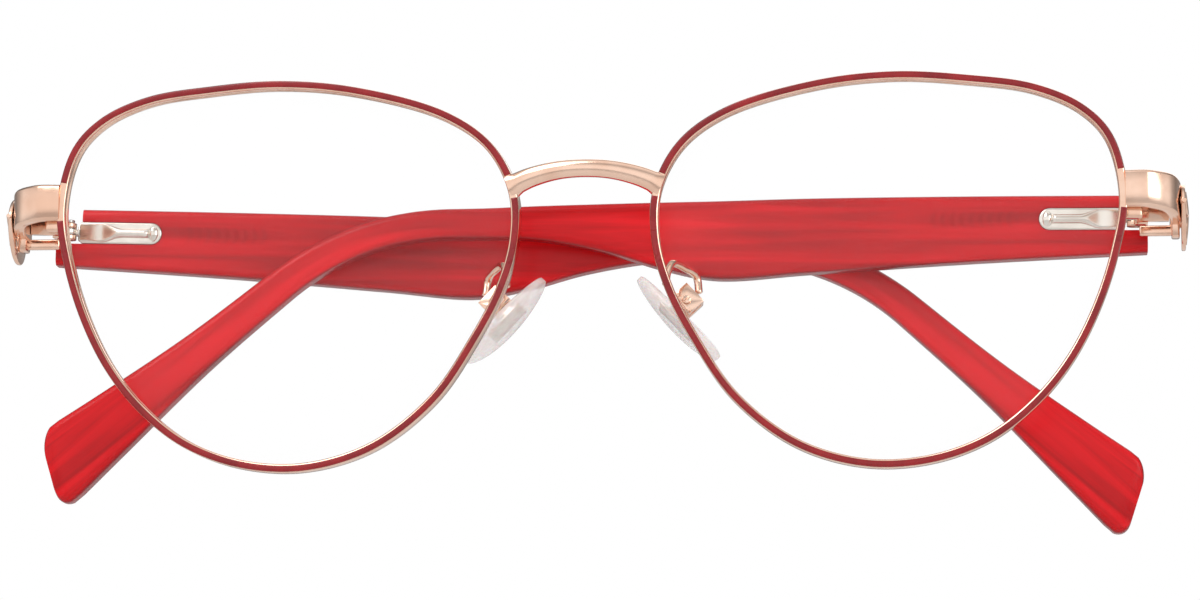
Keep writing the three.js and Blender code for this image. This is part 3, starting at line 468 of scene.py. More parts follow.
def rounded_box(width: float, height: float, radius: float, steps: int = 4) -> list[tuple[float, float]]:
    """A rectangle with round corners.

    Args:
        width: across the first coordinate.
        height: across the second.
        radius: of the corners.
        steps: spans in each corner.

    Returns:
        Points round the middle, anticlockwise.
    """
    radius = min(radius, width / 2 - 1e-4, height / 2 - 1e-4)
    out = []
    for turn, (sx, sy) in enumerate(((1, 1), (-1, 1), (-1, -1), (1, -1))):
        for i in range(steps + 1):
            angle = math.radians(90 * (turn + i / steps))
            out.append((sx * (width / 2 - radius) + radius * math.cos(angle),
                        sy * (height / 2 - radius) + radius * math.sin(angle)))
    return out


def ellipse(a: float, b: float, sides: int) -> list[tuple[float, float]]:
    """Points of an ellipse with half axes a and b."""
    angles = [2 * math.pi * i / sides for i in range(sides)]
    return [(a * math.cos(angle), b * math.sin(angle)) for angle in angles]


def skin(name: str, rings: Sequence[Ring], closed: bool = False,
         uv: Optional[Sequence[Sequence[tuple[float, float]]]] = None) -> bpy.types.Object:
    """Skins a row of rings into an object, capping an open row.

    Args:
        name: the piece's name.
        rings: rings of equal length, in millimetres.
        closed: whether the last ring joins the first.
        uv: a (u, v) pair for each point of each ring, kept in a uv map named blade.

    Returns:
        The new object.
    """
    sides = len(rings[0])
    verts = [tuple(p) for ring in rings for p in ring]
    faces = []
    for i in range(len(rings) if closed else len(rings) - 1):
        a, b = i * sides, ((i + 1) % len(rings)) * sides
        faces += [(a + j, b + j, b + (j + 1) % sides, a + (j + 1) % sides) for j in range(sides)]
    if not closed:
        faces.append(tuple(range(sides)))
        faces.append(tuple(reversed(range((len(rings) - 1) * sides, len(rings) * sides))))
    mesh = bpy.data.meshes.new(name)
    mesh.from_pydata(verts, [], faces)
    if uv is not None:
        flat = [pair for ring in uv for pair in ring]
        layer = mesh.uv_layers.new(name="blade")
        for loop in mesh.loops:
            layer.data[loop.index].uv = flat[loop.vertex_index]
    return from_mesh(name, mesh)


def from_mesh(name: str, mesh: bpy.types.Mesh) -> bpy.types.Object:
    """Links a mesh to the scene as a smooth-shaded object, its faces all turned outwards."""
    shape = bmesh.new()
    shape.from_mesh(mesh)
    bmesh.ops.recalc_face_normals(shape, faces=shape.faces)
    shape.to_mesh(mesh)
    shape.free()
    mesh.polygons.foreach_set("use_smooth", [True] * len(mesh.polygons))
    piece = bpy.data.objects.new(name, mesh)
    bpy.context.scene.collection.objects.link(piece)
    return piece


def sweep(name: str, curve: Curve, section: Callable[[float], Iterable[tuple[float, float]]], steps: int,
          up: Vector = Vector((0, 0, 1)), start: float = 0.0, end: float = 1.0) -> bpy.types.Object:
    """Runs a section along a curve.

    Args:
        name: the piece's name.
        curve: the route, in millimetres.
        section: gives the section's points at a fraction of the route.
        steps: spans along the route.
        up: the direction that the section's second coordinate follows.
        start: the fraction where the sweep starts.
        end: the fraction where it ends.

    Returns:
        The new object.
    """
    rings = []
    for i in range(steps + 1):
        t = start + (end - start) * i / steps
        along = curve.tangent(t)
        across = along.cross(up).normalized()
        above = across.cross(along)
        centre = curve.at(t)
        rings.append([centre + across * a + above * b for a, b in section(t)])
    return skin(name, rings)


def block(name: str, low: Sequence[float], high: Sequence[float]) -> bpy.types.Object:
    """A box between two corners, in millimetres."""
    (x0, y0, z0), (x1, y1, z1) = low, high
    corners = ((x0, y0), (x1, y0), (x1, y1), (x0, y1))
    return skin(name, [[Vector((x, y, z)) for x, y in corners] for z in (z0, z1)])


def modify(piece: bpy.types.Object, kind: str, **settings: object) -> bpy.types.Object:
    """Adds a modifier to a piece and applies it.

    Args:
        piece: the object.
        kind: the modifier's type.
        **settings: the modifier's properties.

    Returns:
        The same object.
    """
    modifier = piece.modifiers.new(kind.lower(), kind)
    for key, value in settings.items():
        setattr(modifier, key, value)
    graph = bpy.context.evaluated_depsgraph_get()
    mesh = bpy.data.meshes.new_from_object(piece.evaluated_get(graph))
    piece.modifiers.clear()
    old, piece.data = piece.data, mesh
    bpy.data.meshes.remove(old)
    return piece


def carve(piece: bpy.types.Object, tool: bpy.types.Object, operation: str = "DIFFERENCE") -> bpy.types.Object:
    """Cuts a tool out of a piece, or joins it, and deletes the tool."""
    modify(piece, "BOOLEAN", operation=operation, object=tool, solver="EXACT")
    bpy.data.objects.remove(tool)
    return piece


def soften(piece: bpy.types.Object, width: float, angle: float = 35.0, segments: int = 3) -> bpy.types.Object:
    """Rounds the sharp edges of a piece.

    Args:
        piece: the object, still in millimetres.
        width: of the bevel.
        angle: edges sharper than this many degrees are rounded.
        segments: of the bevel.

    Returns:
        The same object.
    """
    modify(piece, "BEVEL", width=width, segments=segments, limit_method="ANGLE",
           angle_limit=math.radians(angle), use_clamp_overlap=True, harden_normals=False)
    piece.data.polygons.foreach_set("use_smooth", [True] * len(piece.data.polygons))
    return piece


def settle(piece: bpy.types.Object, place: Matrix, finish: bpy.types.Material, body: str,
           replaces: Sequence[str] = (), crease: float = 40.0) -> bpy.types.Object:
    """Takes a piece from its drawing to the scene: place, finish and body, hiding the CAD nodes it stands
    for.

    Args:
        piece: the object, in millimetres in its own drawing's frame.
        place: from that frame to the row frame, still in millimetres.
        finish: its material.
        body: the body it rides on.
        replaces: the CAD nodes it stands for.
        crease: edges sharper than this many degrees stay sharp.

    Returns:
        The same object.
    """
    mesh = piece.data
    mesh.transform(Matrix.Scale(MM, 4) @ place)
    shape = bmesh.new()
    shape.from_mesh(mesh)
    bmesh.ops.recalc_face_normals(shape, faces=shape.faces)
    for edge in shape.edges:
        edge.smooth = not (edge.is_manifold and edge.calc_face_angle(0.0) > math.radians(crease))
    shape.to_mesh(mesh)
    shape.free()
    mesh.materials.clear()
    mesh.materials.append(finish)
    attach(piece, body)
    if replaces:
        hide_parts(*replaces)
    LOG.info("%s rides on %s, %d faces", piece.name, body, len(mesh.polygons))
    return piece


def refine(frame: dict, node: str, finish: bpy.types.Material, body: str,
           width: float = 0.05) -> bpy.types.Object:
    """Replaces a small machined CAD node by a copy of it with rounded edges.

    Args:
        frame: the loaded frame.
        node: the CAD node.
        finish: its material.
        body: the body it rides on.
        width: of the rounding, in millimetres.

    Returns:
        The new object.
    """
    mesh = frame["nodes"][node].data.copy()
    mesh.transform(Matrix.Scale(1 / MM, 4))
    shape = bmesh.new()
    shape.from_mesh(mesh)
    bmesh.ops.remove_doubles(shape, verts=shape.verts, dist=WELD)
    bmesh.ops.dissolve_limit(shape, angle_limit=math.radians(FLAT_DEG), verts=shape.verts, edges=shape.edges)
    shape.to_mesh(mesh)
    shape.free()
    piece = from_mesh(node + "_fine", mesh)
    soften(piece, width, 40.0, 2)
    return settle(piece, Matrix.Identity(4), finish, body, [node])


def arc(centre: tuple[float, float], radius: float, start: float, end: float,
        steps: int) -> list[tuple[float, float]]:
    """Points of a circular arc.

    Args:
        centre: its middle.
        radius: its radius.
        start: the first point's angle in degrees.
        end: the last point's angle in degrees.
        steps: spans between them.

    Returns:
        The points from start to end.
    """
    angles = [math.radians(start + (end - start) * i / steps) for i in range(steps + 1)]
    return [(centre[0] + radius * math.cos(a), centre[1] + radius * math.sin(a)) for a in angles]


def mirrored(place: Matrix, side: Side) -> Matrix:
    """The place of a sub-assembly on a side, from its place on the left."""
    return Matrix.Diagonal((side.sign, 1, 1, 1)) @ place


# ---- Rims and lenses -------------------------------------------------------------------------


@dataclass
class EyeWire:
    """A rim with its enamel, closing block and lens, drawn about the middle of its lens box."""

    box_width: float = 53.5
    box_height: float = 44.65
    nose_gap: float = 16.4
    centre_height: float = 4.92
    apex_depth: float = -9.3
    face_radius: float = 147.0
    wrap: float = 2.1
    wire_width: float = 1.0
    wire_depth: float = 2.2
    wire_rounding: float = 0.26
    groove_depth: float = 0.35
    groove_width: float = 0.8
    lens_thickness: float = 1.4
    lens_gap: float = 0.08
    enamel_height: float = 0.11
    enamel_inner: float = -0.3
    enamel_outer: float = 0.43
    enamel_taper: float = 0.3
    strap_band: tuple[float, float] = (11.9, 16.4)
    bridge_band: tuple[float, float] = (13.6, 16.25)
    joint_height: float = 12.63
    block_size: float = 1.7
    block_setback: float = 1.55
    block_split: float = 0.3
    block_seat: float = 0.3
    block_rounding: float = 0.28
    steps: int = 264
    shape: Sequence[tuple[float, float]] = (
        (1.0, 0.378), (0.942, 0.68), (0.824, 0.831), (0.62, 0.935), (0.34, 0.98), (0.02, 1.0),
        (-0.318, 0.956), (-0.7, 0.822), (-0.89, 0.658), (-0.99, 0.427), (-0.998, 0.169),
        (-0.942, -0.08), (-0.83, -0.345), (-0.654, -0.653), (-0.393, -0.893), (-0.099, -0.996),
        (0.183, -0.976), (0.426, -0.867), (0.617, -0.689), (0.763, -0.476), (0.875, -0.222),
        (0.961, 0.084))
    outline: Curve = field(init=False)

    def __post_init__(self) -> None:
        """Draws the lens shape."""
        half_width, half_height = self.box_width / 2, self.box_height / 2
        self.outline = Curve([(u * half_width, v * half_height) for u, v in self.shape], closed=True)

    @property
    def place(self) -> Matrix:
        """From the left rim's drawing to the frame."""
        middle = ((self.nose_gap + self.box_width) / 2, self.apex_depth, self.centre_height)
        return Matrix.Translation(middle) @ Matrix.Rotation(math.radians(self.wrap), 4, "Z")

    def depth(self, x: float, z: float) -> float:
        """How far the curved face lies behind its foremost plane."""
        return (x * x + z * z) / (2 * self.face_radius)

    def point(self, t: float, out: float, back: float) -> Vector:
        """A point of the rim's section.

        Args:
            t: the fraction round the lens shape, from the outer top corner over the top.
            out: across the wire, outwards.
            back: behind the wire's front face.

        Returns:
            The point in the rim's drawing.
        """
        centre, along = self.outline.at(t), self.outline.tangent(t)
        depth = self.depth(centre.x, centre.y) + back
        return Vector((centre.x + out * along.y, depth, centre.y - out * along.x))

    def on_frame(self, t: float, out: float, back: float) -> Vector:
        """The same point in the whole object's frame, on the left."""
        return self.place @ self.point(t, out, back)

    def fraction(self, height: float, outer: bool) -> float:
        """The fraction where one side of the rim crosses a height above the nose rest.

        Args:
            height: above the nose rest.
            outer: the outer side, or else the nose side.

        Returns:
            The fraction round the lens shape.
        """
        tries = [i / 1600 for i in range(1600)]
        sided = [t for t in tries if (self.outline.at(t).x > 0) == outer]
        return min(sided, key=lambda t: abs(self.outline.at(t).y + self.centre_height - height))

    def wire(self, name: str) -> bpy.types.Object:
        """The rounded, grooved wire."""
        half, rounding, mid = self.wire_width / 2, self.wire_rounding, self.wire_depth / 2
        near, far, groove = half - rounding, self.wire_depth - rounding, self.groove_width / 2
        section = (arc((near, rounding), rounding, -90, 0, 4) + arc((near, far), rounding, 0, 90, 4)
                   + arc((-near, far), rounding, 90, 180, 4)
                   + [(-half, mid + groove), (self.groove_depth - half, mid), (-half, mid - groove)]
                   + arc((-near, rounding), rounding, 180, 270, 4))
        rings = [[self.point(i / self.steps, a, b) for a, b in section] for i in range(self.steps)]
        return skin(name, rings, closed=True)

    def enamel(self, name: str, start: float, end: float) -> bpy.types.Object:
        """A run of enamel along the wire's front, its ends drawn down.

        Args:
            name: the piece's name.
            start: the fraction where it starts.
            end: the fraction where it ends, over 1 where it passes the start of the lens shape.

        Returns:
            The new object.
        """
        length = (end - start) * self.outline.length
        count = int(self.steps * (end - start))
        reaches = [0.0, 0.05, 0.12, 0.2] + [length * i / count for i in range(1, count)]
        reaches += [length - 0.2, length - 0.12, length - 0.05, length]
        rings = []
        for reach in sorted(reaches):
            edge = min(reach, length - reach, self.enamel_taper) / self.enamel_taper
            h = self.enamel_height * (0.15 + 0.85 * math.sqrt(1 - (1 - edge) ** 2))
            inner, outer = self.enamel_inner, self.enamel_outer
            section = [(inner, 0.16), (inner, 0.0), (inner + 0.03, -h * 0.65), (inner + 0.12, -h),
                       (outer - 0.16, -h * 1.05), (outer - 0.05, -h * 0.7), (outer, 0.02), (outer, 0.1),
                       (outer - 0.06, 0.2)]
            t = start + reach / self.outline.length
            rings.append([self.point(t, a, b) for a, b in section])
        return skin(name, rings)

    def closing_block(self, name: str) -> bpy.types.Object:
        """The split block behind the end piece that the rim screw draws together."""
        height = self.joint_height - self.centre_height
        t = self.fraction(self.joint_height, outer=True)
        outer = self.outline.at(t).x + self.wire_width / 2
        back = self.depth(outer, height) + self.block_setback
        halves = []
        for low, high in ((-self.block_size, -self.block_split / 2), (self.block_split / 2, self.block_size)):
            part = block(name, (outer - self.block_seat, back, height + low),
                         (outer + self.block_size, back + self.block_size, height + high))
            halves.append(soften(part, self.block_rounding, 40, 4))
        return carve(halves[0], halves[1], "UNION")

    def lens(self, name: str) -> bpy.types.Object:
        """A thin meniscus with a bevelled edge that sits in the groove."""
        wall = -self.wire_width / 2 - self.lens_gap
        mid, face = self.wire_depth / 2, self.lens_thickness / 2
        bevel = self.groove_width / 2 - self.lens_gap
        scales = (0.02, 0.2, 0.4, 0.6, 0.75, 0.88, 0.96, 1.0)
        turns = [i / self.steps for i in range(self.steps)]
        edge = [self.point(t, wall, 0) for t in turns]
        rings = []

        def face_rings(back: float, order: Sequence[float]) -> None:
            """Adds a face's rings, each the edge shrunk by a scale."""
            for s in order:
                rings.append([Vector((p.x * s, self.depth(p.x * s, p.z * s) + back, p.z * s)) for p in edge])

        face_rings(mid - face, scales)
        for out, back in ((wall, mid - bevel), (wall + self.groove_depth, mid), (wall, mid + bevel)):
            rings.append([self.point(t, out, back) for t in turns])
        face_rings(mid + face, scales[::-1])
        return skin(name, rings)

    def build(self, frame: dict, finishes: Finishes, side: Side) -> None:
        """Makes one side's rim, enamel, closing block, screw and lens.

        Args:
            frame: the loaded frame.
            finishes: the materials.
            side: the wearer's side.
        """
        name, place = side.value, mirrored(self.place, side)
        top = (self.fraction(self.strap_band[1], True), self.fraction(self.bridge_band[1], False))
        under = (self.fraction(self.bridge_band[0], False), self.fraction(self.strap_band[0], True))
        gold = finishes.rose_gold
        settle(self.wire(f"{name}_rim_wire"), place, gold, "front", [f"{name}_rim"])
        for label, (start, end) in (("brow", top), ("cheek", under)):
            band = self.enamel(f"{name}_{label}_enamel", start, end if end > start else end + 1)
            settle(band, place, finishes.enamel, "front")
        settle(self.closing_block(f"{name}_closing_block"), place, gold, "front")
        settle(self.lens(f"{name}_clear_lens"), place, finishes.lens, "front", [f"{name}_lens"])
        refine(frame, f"{name}_rim_screw", finishes.steel, "front")


# ---- Bridge ----------------------------------------------------------------------------------


@dataclass
class Bridge:
    """The arched bar between the rims, with a ridge along its front and ends that flare into the rims."""

    height: float = 2.0
    flare: float = 1.22
    thickness: float = 1.7
    rise: float = 1.9
    end_height: float = 15.0
    forward: float = 0.4
    bow: float = 1.1
    seat: float = 0.75
    rear_rounding: float = 0.3
    upper_share: float = 0.97
    steps: int = 120

    def section(self, t: float) -> list[tuple[float, float]]:
        """The bar's section: a flat back and a crowned front, ending in a soft flare."""
        off = abs(2 * t - 1)
        flare = 1 + (self.flare - 1) * off ** 2 + 0.3 * smoothstep((off - 0.86) / 0.14)
        half, deep = self.height * flare / 2, self.thickness / 2
        crown = []
        for degrees in range(-84, 85, 12):
            angle = math.radians(degrees)
            out = deep * (0.1 + 0.9 * math.cos(angle) ** 0.62)
            crown.append((out, half * math.sin(angle) * (1.0 if degrees < 0 else self.upper_share)))
        edge = self.rear_rounding
        return (crown + arc((edge - deep, half - edge), edge, 90, 180, 4)
                + arc((edge - deep, edge - half), edge, 180, 270, 4))

    def build(self, eye: EyeWire, finishes: Finishes) -> None:
        """Makes the bridge between the two rims.

        Args:
            eye: the rim that its ends run into.
            finishes: the materials.
        """
        t = eye.fraction(self.end_height, outer=False)
        end = eye.on_frame(t, eye.wire_width / 2, eye.wire_depth / 2)
        reach = end.x + self.seat
        points = []
        for u in (-1, -0.72, -0.36, 0, 0.36, 0.72, 1):
            arch = 1 - abs(u) ** 2.2
            ahead = self.forward + self.bow * arch
            points.append((u * reach, end.y - ahead, self.end_height + self.rise * arch))
        bar = sweep("bridge_bar", Curve(points), self.section, self.steps)
        settle(bar, Matrix.Identity(4), finishes.rose_gold, "front", ["bridge"], crease=50)


# ---- End pieces ------------------------------------------------------------------------------


@dataclass
class EndPiece:
    """The strap that turns the corner from the rim to the temple, with its leaf ornament."""

    strap_height: float = 4.2
    strap_thickness: float = 1.3
    mid_height: float = 14.1
    hinge_outset: float = 1.1
    hinge_setback: float = 10.52
    hinge_height: float = 12.2
    temple_outer: float = 3.9
    temple_lip: float = 1.5
    corner: float = 2.6
    clearance: float = 1.1
    leaf_length: float = 8.8
    leaf_height: float = 7.6
    leaf_thickness: float = 0.3
    leaf_bulge: float = 0.4
    leaf_ahead: float = 0.9
    leaf_drop: float = 2.3
    vein: float = 0.3
    crown: float = 0.22
    stop_gap: float = 0.3
    ledge_drop: float = 1.25
    ledge_depth: float = 1.2
    flange_rounding: float = 0.22
    rim_edge: float = 0.12
    steps: int = 70

    def start(self, eye: EyeWire) -> Vector:
        """Where the strap meets the rim."""
        return eye.on_frame(0, eye.wire_width / 2 + 0.05, 0)

    def hinge(self, eye: EyeWire) -> Vector:
        """The hinge pin's place."""
        return Vector((eye.nose_gap / 2 + eye.box_width + self.hinge_outset,
                       self.start(eye).y + self.hinge_setback, self.hinge_height))

    def outer(self, eye: EyeWire) -> float:
        """The strap's outer face."""
        return self.hinge(eye).x + math.hypot(self.temple_outer, self.temple_lip) + self.clearance

    def rear(self, eye: EyeWire) -> float:
        """The end of the return, which the open temple meets."""
        return self.hinge(eye).y - self.temple_lip - self.stop_gap

    def strap(self, name: str, eye: EyeWire) -> bpy.types.Object:
        """The cast strap, crowned across its face."""
        start, rear = self.start(eye), self.rear(eye)
        front = start.y + self.strap_thickness / 2 - 0.15
        outer = self.outer(eye) - self.strap_thickness / 2
        corner, z = self.corner, self.mid_height
        path = Curve([(start.x - 0.35, front, z), (start.x + 1.8, front + 0.05, z),
                      (outer - corner, front + 0.4, z - 0.05),
                      (outer - corner * 0.3, front + corner * 0.7, z - 0.3),
                      (outer, front + corner * 1.8, z - 0.9), (outer, rear, z - 1.3)])

        def section(t: float) -> list[tuple[float, float]]:
            """The strap's section, a little taller towards the hinge and crowned on its outer side."""
            height = self.strap_height * (1 + 0.1 * t)
            points = rounded_box(self.strap_thickness, height, 0.36, 5)
            return [(a + (self.crown * (1 - (2 * b / height) ** 2) if a > 0 else 0), b) for a, b in points]

        return sweep(name, path, section, self.steps)

    def flange(self, name: str, eye: EyeWire) -> bpy.types.Object:
        """The ledge under the hinge that stops the open temple."""
        hinge, outer, rear = self.hinge(eye), self.outer(eye), self.rear(eye)
        top = hinge.z - self.ledge_drop
        ledge = block(name, (hinge.x + 0.5, rear - 0.9, top - self.ledge_depth), (outer - 0.3, rear, top))
        web = block(name + "_web", (outer - 1.1, rear - 2.4, top - 1.6),
                    (outer - 0.15, rear, self.mid_height))
        soften(ledge, self.flange_rounding, 40, 3)
        soften(web, self.flange_rounding, 40, 3)
        return carve(ledge, web, "UNION")

    def dome(self, u: float, v: float) -> float:
        """How far the leaf stands out at a place on it."""
        return self.leaf_bulge * max(0.0, 1 - 0.6 * u * u - 0.6 * v * v)

    def on_leaf(self, u: float, v: float, proud: float = 0.0) -> Vector:
        """A point on the leaf's outer face, u and v from -1 to 1 over its length and height."""
        return Vector((self.leaf_thickness + self.dome(u, v) + proud, u * self.leaf_length / 2,
                       v * self.leaf_height / 2))

    def leaf_plate(self, name: str) -> bpy.types.Object:
        """The domed openwork plate with rounded edges."""
        long, high = self.leaf_length / 2, self.leaf_height / 2
        curve = bpy.data.curves.new(name, "CURVE")
        curve.dimensions = "2D"
        curve.fill_mode = "BOTH"
        curve.resolution_u = 20
        curve.bevel_depth = self.rim_edge
        curve.bevel_resolution = 3
        curve.extrude = self.leaf_thickness / 2 - curve.bevel_depth
        inset = curve.bevel_depth
        edge = curve.splines.new("BEZIER")
        knots = [((-1, 0.35), (-0.95, 0.0), (-0.8, 1.05)), ((0.75, 0.75), (0.1, 1.2), (1.05, 0.4)),
                 ((0.75, -0.7), (1.05, -0.3), (0.4, -1.15)), ((-0.5, -0.6), (-0.2, -1.05), (-0.75, -0.3))]
        edge.bezier_points.add(len(knots) - 1)
        shrink = 1 - inset / high
        for point, (co, left, right) in zip(edge.bezier_points, knots):
            for attribute, value in (("co", co), ("handle_left", left), ("handle_right", right)):
                setattr(point, attribute, (value[0] * long * shrink, value[1] * high * shrink, 0))
        edge.use_cyclic_u = True
        for x, y, rx, ry, turn in ((-0.42, 0.38, 0.26, 0.2, -20), (0.28, 0.52, 0.24, 0.18, 15),
                                   (-0.12, -0.38, 0.2, 0.26, 30), (0.5, -0.22, 0.16, 0.3, -10)):
            eye = curve.splines.new("POLY")
            sides = 40
            eye.points.add(sides - 1)
            turning = Matrix.Rotation(math.radians(turn), 2)
            for i, point in enumerate(eye.points):
                angle = 2 * math.pi * i / sides
                reach = turning @ Vector(((rx * long + inset * 0.4) * math.cos(angle),
                                          (ry * high + inset * 0.4) * math.sin(angle)))
                point.co = (x * long + reach.x, y * high + reach.y, 0, 1)
            eye.use_cyclic_u = True
        carrier = bpy.data.objects.new(name, curve)
        bpy.context.scene.collection.objects.link(carrier)
        mesh = bpy.data.meshes.new_from_object(carrier.evaluated_get(bpy.context.evaluated_depsgraph_get()))
        bpy.data.objects.remove(carrier)
        for vertex in mesh.vertices:
            along, height, out = vertex.co
            share = max(0.0, out / self.leaf_thickness + 0.5)
            lift = share * self.dome(along / long, height / high)
            vertex.co = (out + self.leaf_thickness / 2 + lift, along, height)
        plate = from_mesh(name, mesh)
        shape = bmesh.new()
        shape.from_mesh(mesh)
        bmesh.ops.remove_doubles(shape, verts=shape.verts, dist=0.004)
        shape.to_mesh(mesh)
        shape.free()
        return plate

    def leaf_veins(self, name: str) -> bpy.types.Object:
        """The raised veins that branch over the leaf between its openings."""
        runs = (((-1.0, 0.36), (-0.6, 0.08), (-0.1, 0.06), (0.3, 0.12), (0.8, 0.3)),
                ((-0.1, 0.06), (-0.05, 0.4), (0.02, 0.78)), ((-0.1, 0.06), (-0.45, -0.2), (-0.52, -0.5)),
                ((0.1, 0.08), (0.2, -0.3), (0.22, -0.8)))
        whole = None
        for run in runs:
            path = Curve([self.on_leaf(u, v, -0.1) for u, v in run])

            def section(t: float) -> list[tuple[float, float]]:
                """The vein's round section, thinner towards its end."""
                radius = self.vein * (1 - 0.45 * t)
                return ellipse(radius, radius, 12)

            part = sweep(name, path, section, 24, up=Vector((1, 0, 0)))
            whole = part if whole is None else carve(whole, part, "UNION")
        return whole

    def build(self, eye: EyeWire, finishes: Finishes, side: Side) -> None:
        """Makes one side's strap, flange and ornament.

        Args:
            eye: the rim that it starts from.
            finishes: the materials.
            side: the wearer's side.
        """
        name, place = side.value, mirrored(Matrix.Identity(4), side)
        gold = finishes.rose_gold
        settle(self.strap(f"{name}_strap", eye), place, gold, "front", [f"{name}_end_piece"])
        settle(self.flange(f"{name}_stop_flange", eye), place, gold, "front")
        corner = Vector((self.outer(eye) + 0.05, self.rear(eye) - self.leaf_ahead,
                         self.mid_height - self.leaf_drop))
        leaf = mirrored(Matrix.Translation(corner), side)
        settle(self.leaf_plate(f"{name}_leaf"), leaf, gold, "front", [f"{name}_side_ornament"])
        settle(self.leaf_veins(f"{name}_leaf_veins"), leaf, gold, "front")


# ---- Temples ---------------------------------------------------------------------------------


@dataclass
class Temple:
    """An acetate temple with its wire core and spring hinge, drawn about its pin with the temple open."""

    thickness: float = 3.6
    inset: float = 0.3
    edge: float = 0.85
    lip: float = 1.5
    bend_start: float = 79.5
    bend_radius: float = 32.0
    bend_deg: float = 39.0
    tip_length: float = 34.6
    tip_slant: float = 0.42
    tip_corner: float = 2.2
    belly: float = 48.5
    barrel_radius: float = 0.95
    barrel_height: float = 2.0
    housing_front: float = 1.4
    housing_length: float = 9.7
    housing_height: float = 2.6
    housing_thickness: float = 1.9
    rib_half: float = 0.56
    rib_front: float = 1.16
    waist_start: float = 2.4
    waist_length: float = 2.6
    case_rounding: float = 0.22
    channel_half: tuple[float, float] = (0.46, 0.76)
    button: tuple[float, float, float] = (0.42, 0.62, 0.98)
    core: tuple[float, float] = (0.9, 1.5)
    core_margin: float = 9.0
    spring: tuple[float, float, float] = (3.9, 0.33, 0.08)
    spring_start: float = 5.45
    spring_turns: int = 6
    steps: int = 150

    @property
    def bend_length(self) -> float:
        """The length of the spine's bend."""
        return self.bend_radius * math.radians(self.bend_deg)

    @property
    def end(self) -> float:
        """The spine's whole length from the pin."""
        return self.bend_start + self.bend_length + self.tip_length

    @property
    def housing_x(self) -> float:
        """The middle of the housing's thickness."""
        return self.inset + self.housing_thickness / 2

    def spine(self, distance: float) -> tuple[Vector, Vector, Vector]:
        """The middle line: straight, one bend, then straight again.

        Args:
            distance: along it from the pin.

        Returns:
            The point there, the direction along and the direction above.
        """
        turned = min(max(distance - self.bend_start, 0.0), self.bend_length)
        angle = turned / self.bend_radius
        tail = max(distance - self.bend_start - self.bend_length, 0.0)
        along = Vector((0, math.cos(angle), -math.sin(angle)))
        point = Vector((0, min(distance, self.bend_start) + self.bend_radius * math.sin(angle),
                        self.bend_radius * (math.cos(angle) - 1))) + along * tail
        return point, along, Vector((0, -along.z, along.y))

    def blade(self) -> Curve:
        """Distance along the spine with the rise of the upper edge and the drop of the lower one there."""
        neck, bend_end = self.bend_start - 3, self.bend_start + self.bend_length
        return Curve([(-self.lip, 2.85, 3.9), (20, 2.85, 4.95), (38, 2.7, 6.1), (self.belly, 2.45, 6.75),
                      (self.belly + 6, 2.35, 5.6), (self.belly + 13, 2.2, 3.5), (neck - 7, 2.0, 2.0),
                      (neck, 1.75, 1.75), (self.bend_start + 10, 1.7, 1.8), (bend_end, 1.8, 2.0),
                      (self.end - 22, 2.2, 2.5), (self.end - 9, 3.3, 3.9), (self.end - 3, 3.9, 4.6)])

    def acetate(self, name: str) -> bpy.types.Object:
        """The polished blade and earpiece, pocketed for the housing and notched for the barrels."""
        blade = self.blade()
        stations = [tuple(blade.at(i / self.steps)) for i in range(self.steps + 1)]
        last, up, down = stations[-1]
        for turn in range(15, 91, 7):
            inset = self.tip_corner * (1 - math.cos(math.radians(turn)))
            stations.append((last + 0.8 + self.tip_corner * math.sin(math.radians(turn)), up + 0.1 - inset,
                             down + 0.1 - inset))
        rings, uvs = [], []
        for distance, up, down in stations:
            point, along, above = self.spine(distance)
            slant = self.tip_slant * min(max((distance - self.end + 25) / 25, 0.0), 1.0)
            rounding = max(distance - last - 0.8, 0.0) / self.tip_corner
            section = rounded_box(self.thickness - 0.9 * rounding ** 2, up + down, self.edge, 6)
            ring, uv = [], []
            for a, b in section:
                height = b + (up - down) / 2
                place = point + above * height - along * (height * slant)
                place.x = self.inset + self.thickness / 2 + a
                ring.append(place)
                uv.append((distance, height))
            rings.append(ring)
            uvs.append(uv)
        body = skin(name, rings, uv=uvs)
        body = carve(body, self.pocket(name + "_pocket"))
        notch_top = self.housing_height * 3
        notch = block(name + "_notch", (-2, -self.lip - 2, -self.barrel_height / 2 - 0.2),
                      (self.inset + self.thickness + 2, self.barrel_radius + 0.6, notch_top))
        return carve(body, notch)

    def stadium(self, start: float, half: float) -> list[tuple[float, float]]:
        """The housing's outline in side view, square at the front and round behind."""
        middle = self.housing_front + self.housing_length - self.housing_height / 2
        return [(start, half), (start, -half)] + arc((middle, 0), half, -90, 90, 20)

    def pocket(self, name: str) -> bpy.types.Object:
        """The room that the housing takes in the acetate."""
        outline = self.stadium(-5, self.housing_height / 2 + 0.03)
        return skin(name, [[Vector((x, a, b)) for a, b in outline]
                           for x in (self.inset - 1, self.inset + self.housing_thickness + 0.05)])

